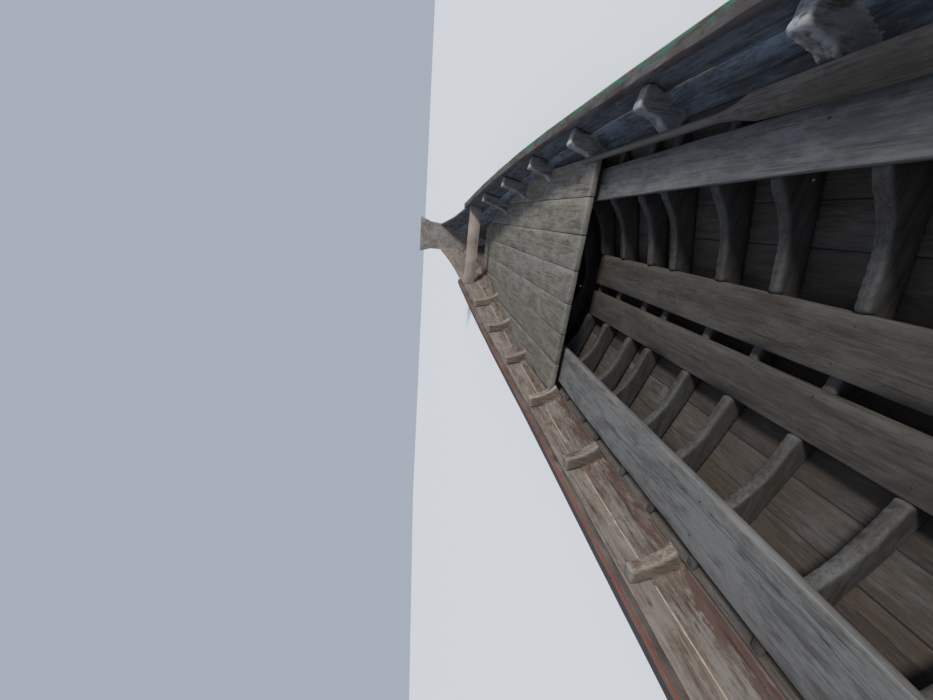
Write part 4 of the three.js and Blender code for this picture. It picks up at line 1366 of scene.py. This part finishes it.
class BOAT_OT_stage(Operator):
    """Floor at the waterline, soft light and the camera"""

    bl_idname = "boat.stage"
    bl_label = "Stage"

    def execute(self, context):
        look = context.scene.boat_stage
        self.floor(look)
        self.light(look)
        self.camera(context, look)
        return {"FINISHED"}

    def floor(self, look):
        """A floor with an opening where the hull goes through it."""
        cloud = []
        for node in [f"{s}_{side}" for s in STRAKES for side in SIDES] + ["prow_board", "transom"]:
            points, edges = wire(node)
            a, b = points[edges[:, 0]], points[edges[:, 1]]
            cut = a[:, 2] * b[:, 2] < 0
            a, b = a[cut], b[cut]
            t = (a[:, 2] / (a[:, 2] - b[:, 2]))[:, None]
            cloud.extend((p[0], abs(p[1])) for p in a + (b - a) * t)
        outline = []
        for p in sorted(cloud):
            while len(outline) > 1:
                (x0, y0), (x1, y1) = outline[-2:]
                if (x1 - x0) * (p[1] - y0) - (y1 - y0) * (p[0] - x0) < 0:
                    break
                outline.pop()
            outline.append(p)
        inset = 0.012
        rows = [(x, max(0.004, y - inset)) for x, y in outline]
        first, last = rows[0][0] + inset, rows[-1][0] - inset
        inner = [(min(max(x, first + 0.001), last - 0.001), y) for x, y in rows[1:-1]]
        rows = [(first, 0.0)] + inner + [(last, 0.0)]
        far = 60
        bm = bmesh.new()
        for sign in (1, -1):
            strip = [(-far, 0.0)] + rows + [(far, 0.0)]
            near = [bm.verts.new((x, sign * y, 0)) for x, y in strip]
            away = [bm.verts.new((x, sign * far, 0)) for x, _ in strip]
            for n in range(len(strip) - 1):
                corners = (near[n], near[n + 1], away[n + 1], away[n])
                bm.faces.new(corners[::sign])
        bmesh.ops.remove_doubles(bm, verts=bm.verts, dist=1e-5)
        shade = Shade("floor_paint")
        field = shade.noise(shade.place(), 3, 4)
        shade.finish(Base_Color=shade.mix(field * 0.2, tuple(look.floor), (0.55, 0.57, 0.6)),
                     Roughness=0.75)
        placed("floor", mesh_of("floor", bm, shade.material))

    def light(self, look):
        """A large soft lamp high on the starboard quarter, with light from all round."""
        world = bpy.data.worlds.new("studio")
        world.use_nodes = True
        background = world.node_tree.nodes["Background"].inputs
        background["Color"].default_value = (*SKY_COLOUR, 1)
        background["Strength"].default_value = look.sky
        bpy.context.scene.world = world
        bpy.context.scene.view_settings.view_transform = "Standard"
        data = bpy.data.lights.new("key", "SUN")
        data.energy = look.key
        data.angle = math.radians(10)
        data.color = LAMP_COLOUR
        key = placed("key", data)
        key.rotation_mode = "QUATERNION"
        key.rotation_quaternion = LAMP_AIM.to_track_quat("-Z", "Y")

    def camera(self, context, look):
        """The photograph's viewpoint: a wide lens on its side, above the side seats."""
        eye = (-0.9, -0.354, 1.186)
        yaw, pitch, roll = (math.radians(a) for a in (21.74, 8.99, -2.14))
        ahead = Vector((math.cos(yaw) * math.cos(pitch), math.sin(yaw) * math.cos(pitch),
                        -math.sin(pitch)))
        right = Vector((math.sin(yaw), -math.cos(yaw), 0))
        down = ahead.cross(right)
        up_in_frame = right * math.cos(roll) + down * math.sin(roll)
        right_in_frame = down * math.cos(roll) - right * math.sin(roll)
        data = bpy.data.cameras.new("camera")
        data.lens = look.lens
        data.sensor_width = 36
        data.clip_start = 0.02
        camera = placed("camera", data)
        turn = Matrix((right_in_frame, up_in_frame, -ahead)).transposed()
        camera.matrix_world = Matrix.Translation(eye) @ turn.to_4x4()
        context.scene.camera = camera


class BOAT_PT_sidebar(Panel):
    """Shows the settings and the steps of the boat in the sidebar"""

    bl_idname = "BOAT_PT_sidebar"
    bl_label = "Longtail boat"
    bl_space_type = "VIEW_3D"
    bl_region_type = "UI"
    bl_category = "Longtail boat"

    def draw(self, context):
        for settings in SETTINGS:
            group = getattr(context.scene, settings)
            box = self.layout.box()
            for name in group.__annotations__:
                box.prop(group, name)
        for operator in OPERATORS:
            self.layout.operator(operator.bl_idname)


OPERATORS = [BOAT_OT_planking, BOAT_OT_frames, BOAT_OT_rails, BOAT_OT_boards, BOAT_OT_fastenings,
             BOAT_OT_drive, BOAT_OT_stage]
SETTINGS = {"boat_hull": HullPlanks, "boat_drive": DriveLook, "boat_stage": StageLook}
CLASSES = [*SETTINGS.values(), *OPERATORS, BOAT_PT_sidebar]


def register():
    """Registers the classes and hangs the settings on the scene."""
    for cls in CLASSES:
        bpy.utils.register_class(cls)
    for name, group in SETTINGS.items():
        setattr(bpy.types.Scene, name, PointerProperty(type=group))


def unregister():
    """Takes the settings and the classes away again."""
    for name in SETTINGS:
        delattr(bpy.types.Scene, name)
    for cls in reversed(CLASSES):
        bpy.utils.unregister_class(cls)


def main():
    """Builds every piece in order."""
    register()
    for operator in OPERATORS:
        family, name = operator.bl_idname.split(".")
        getattr(getattr(bpy.ops, family), name)()


if __name__ == "__main__":
    main()
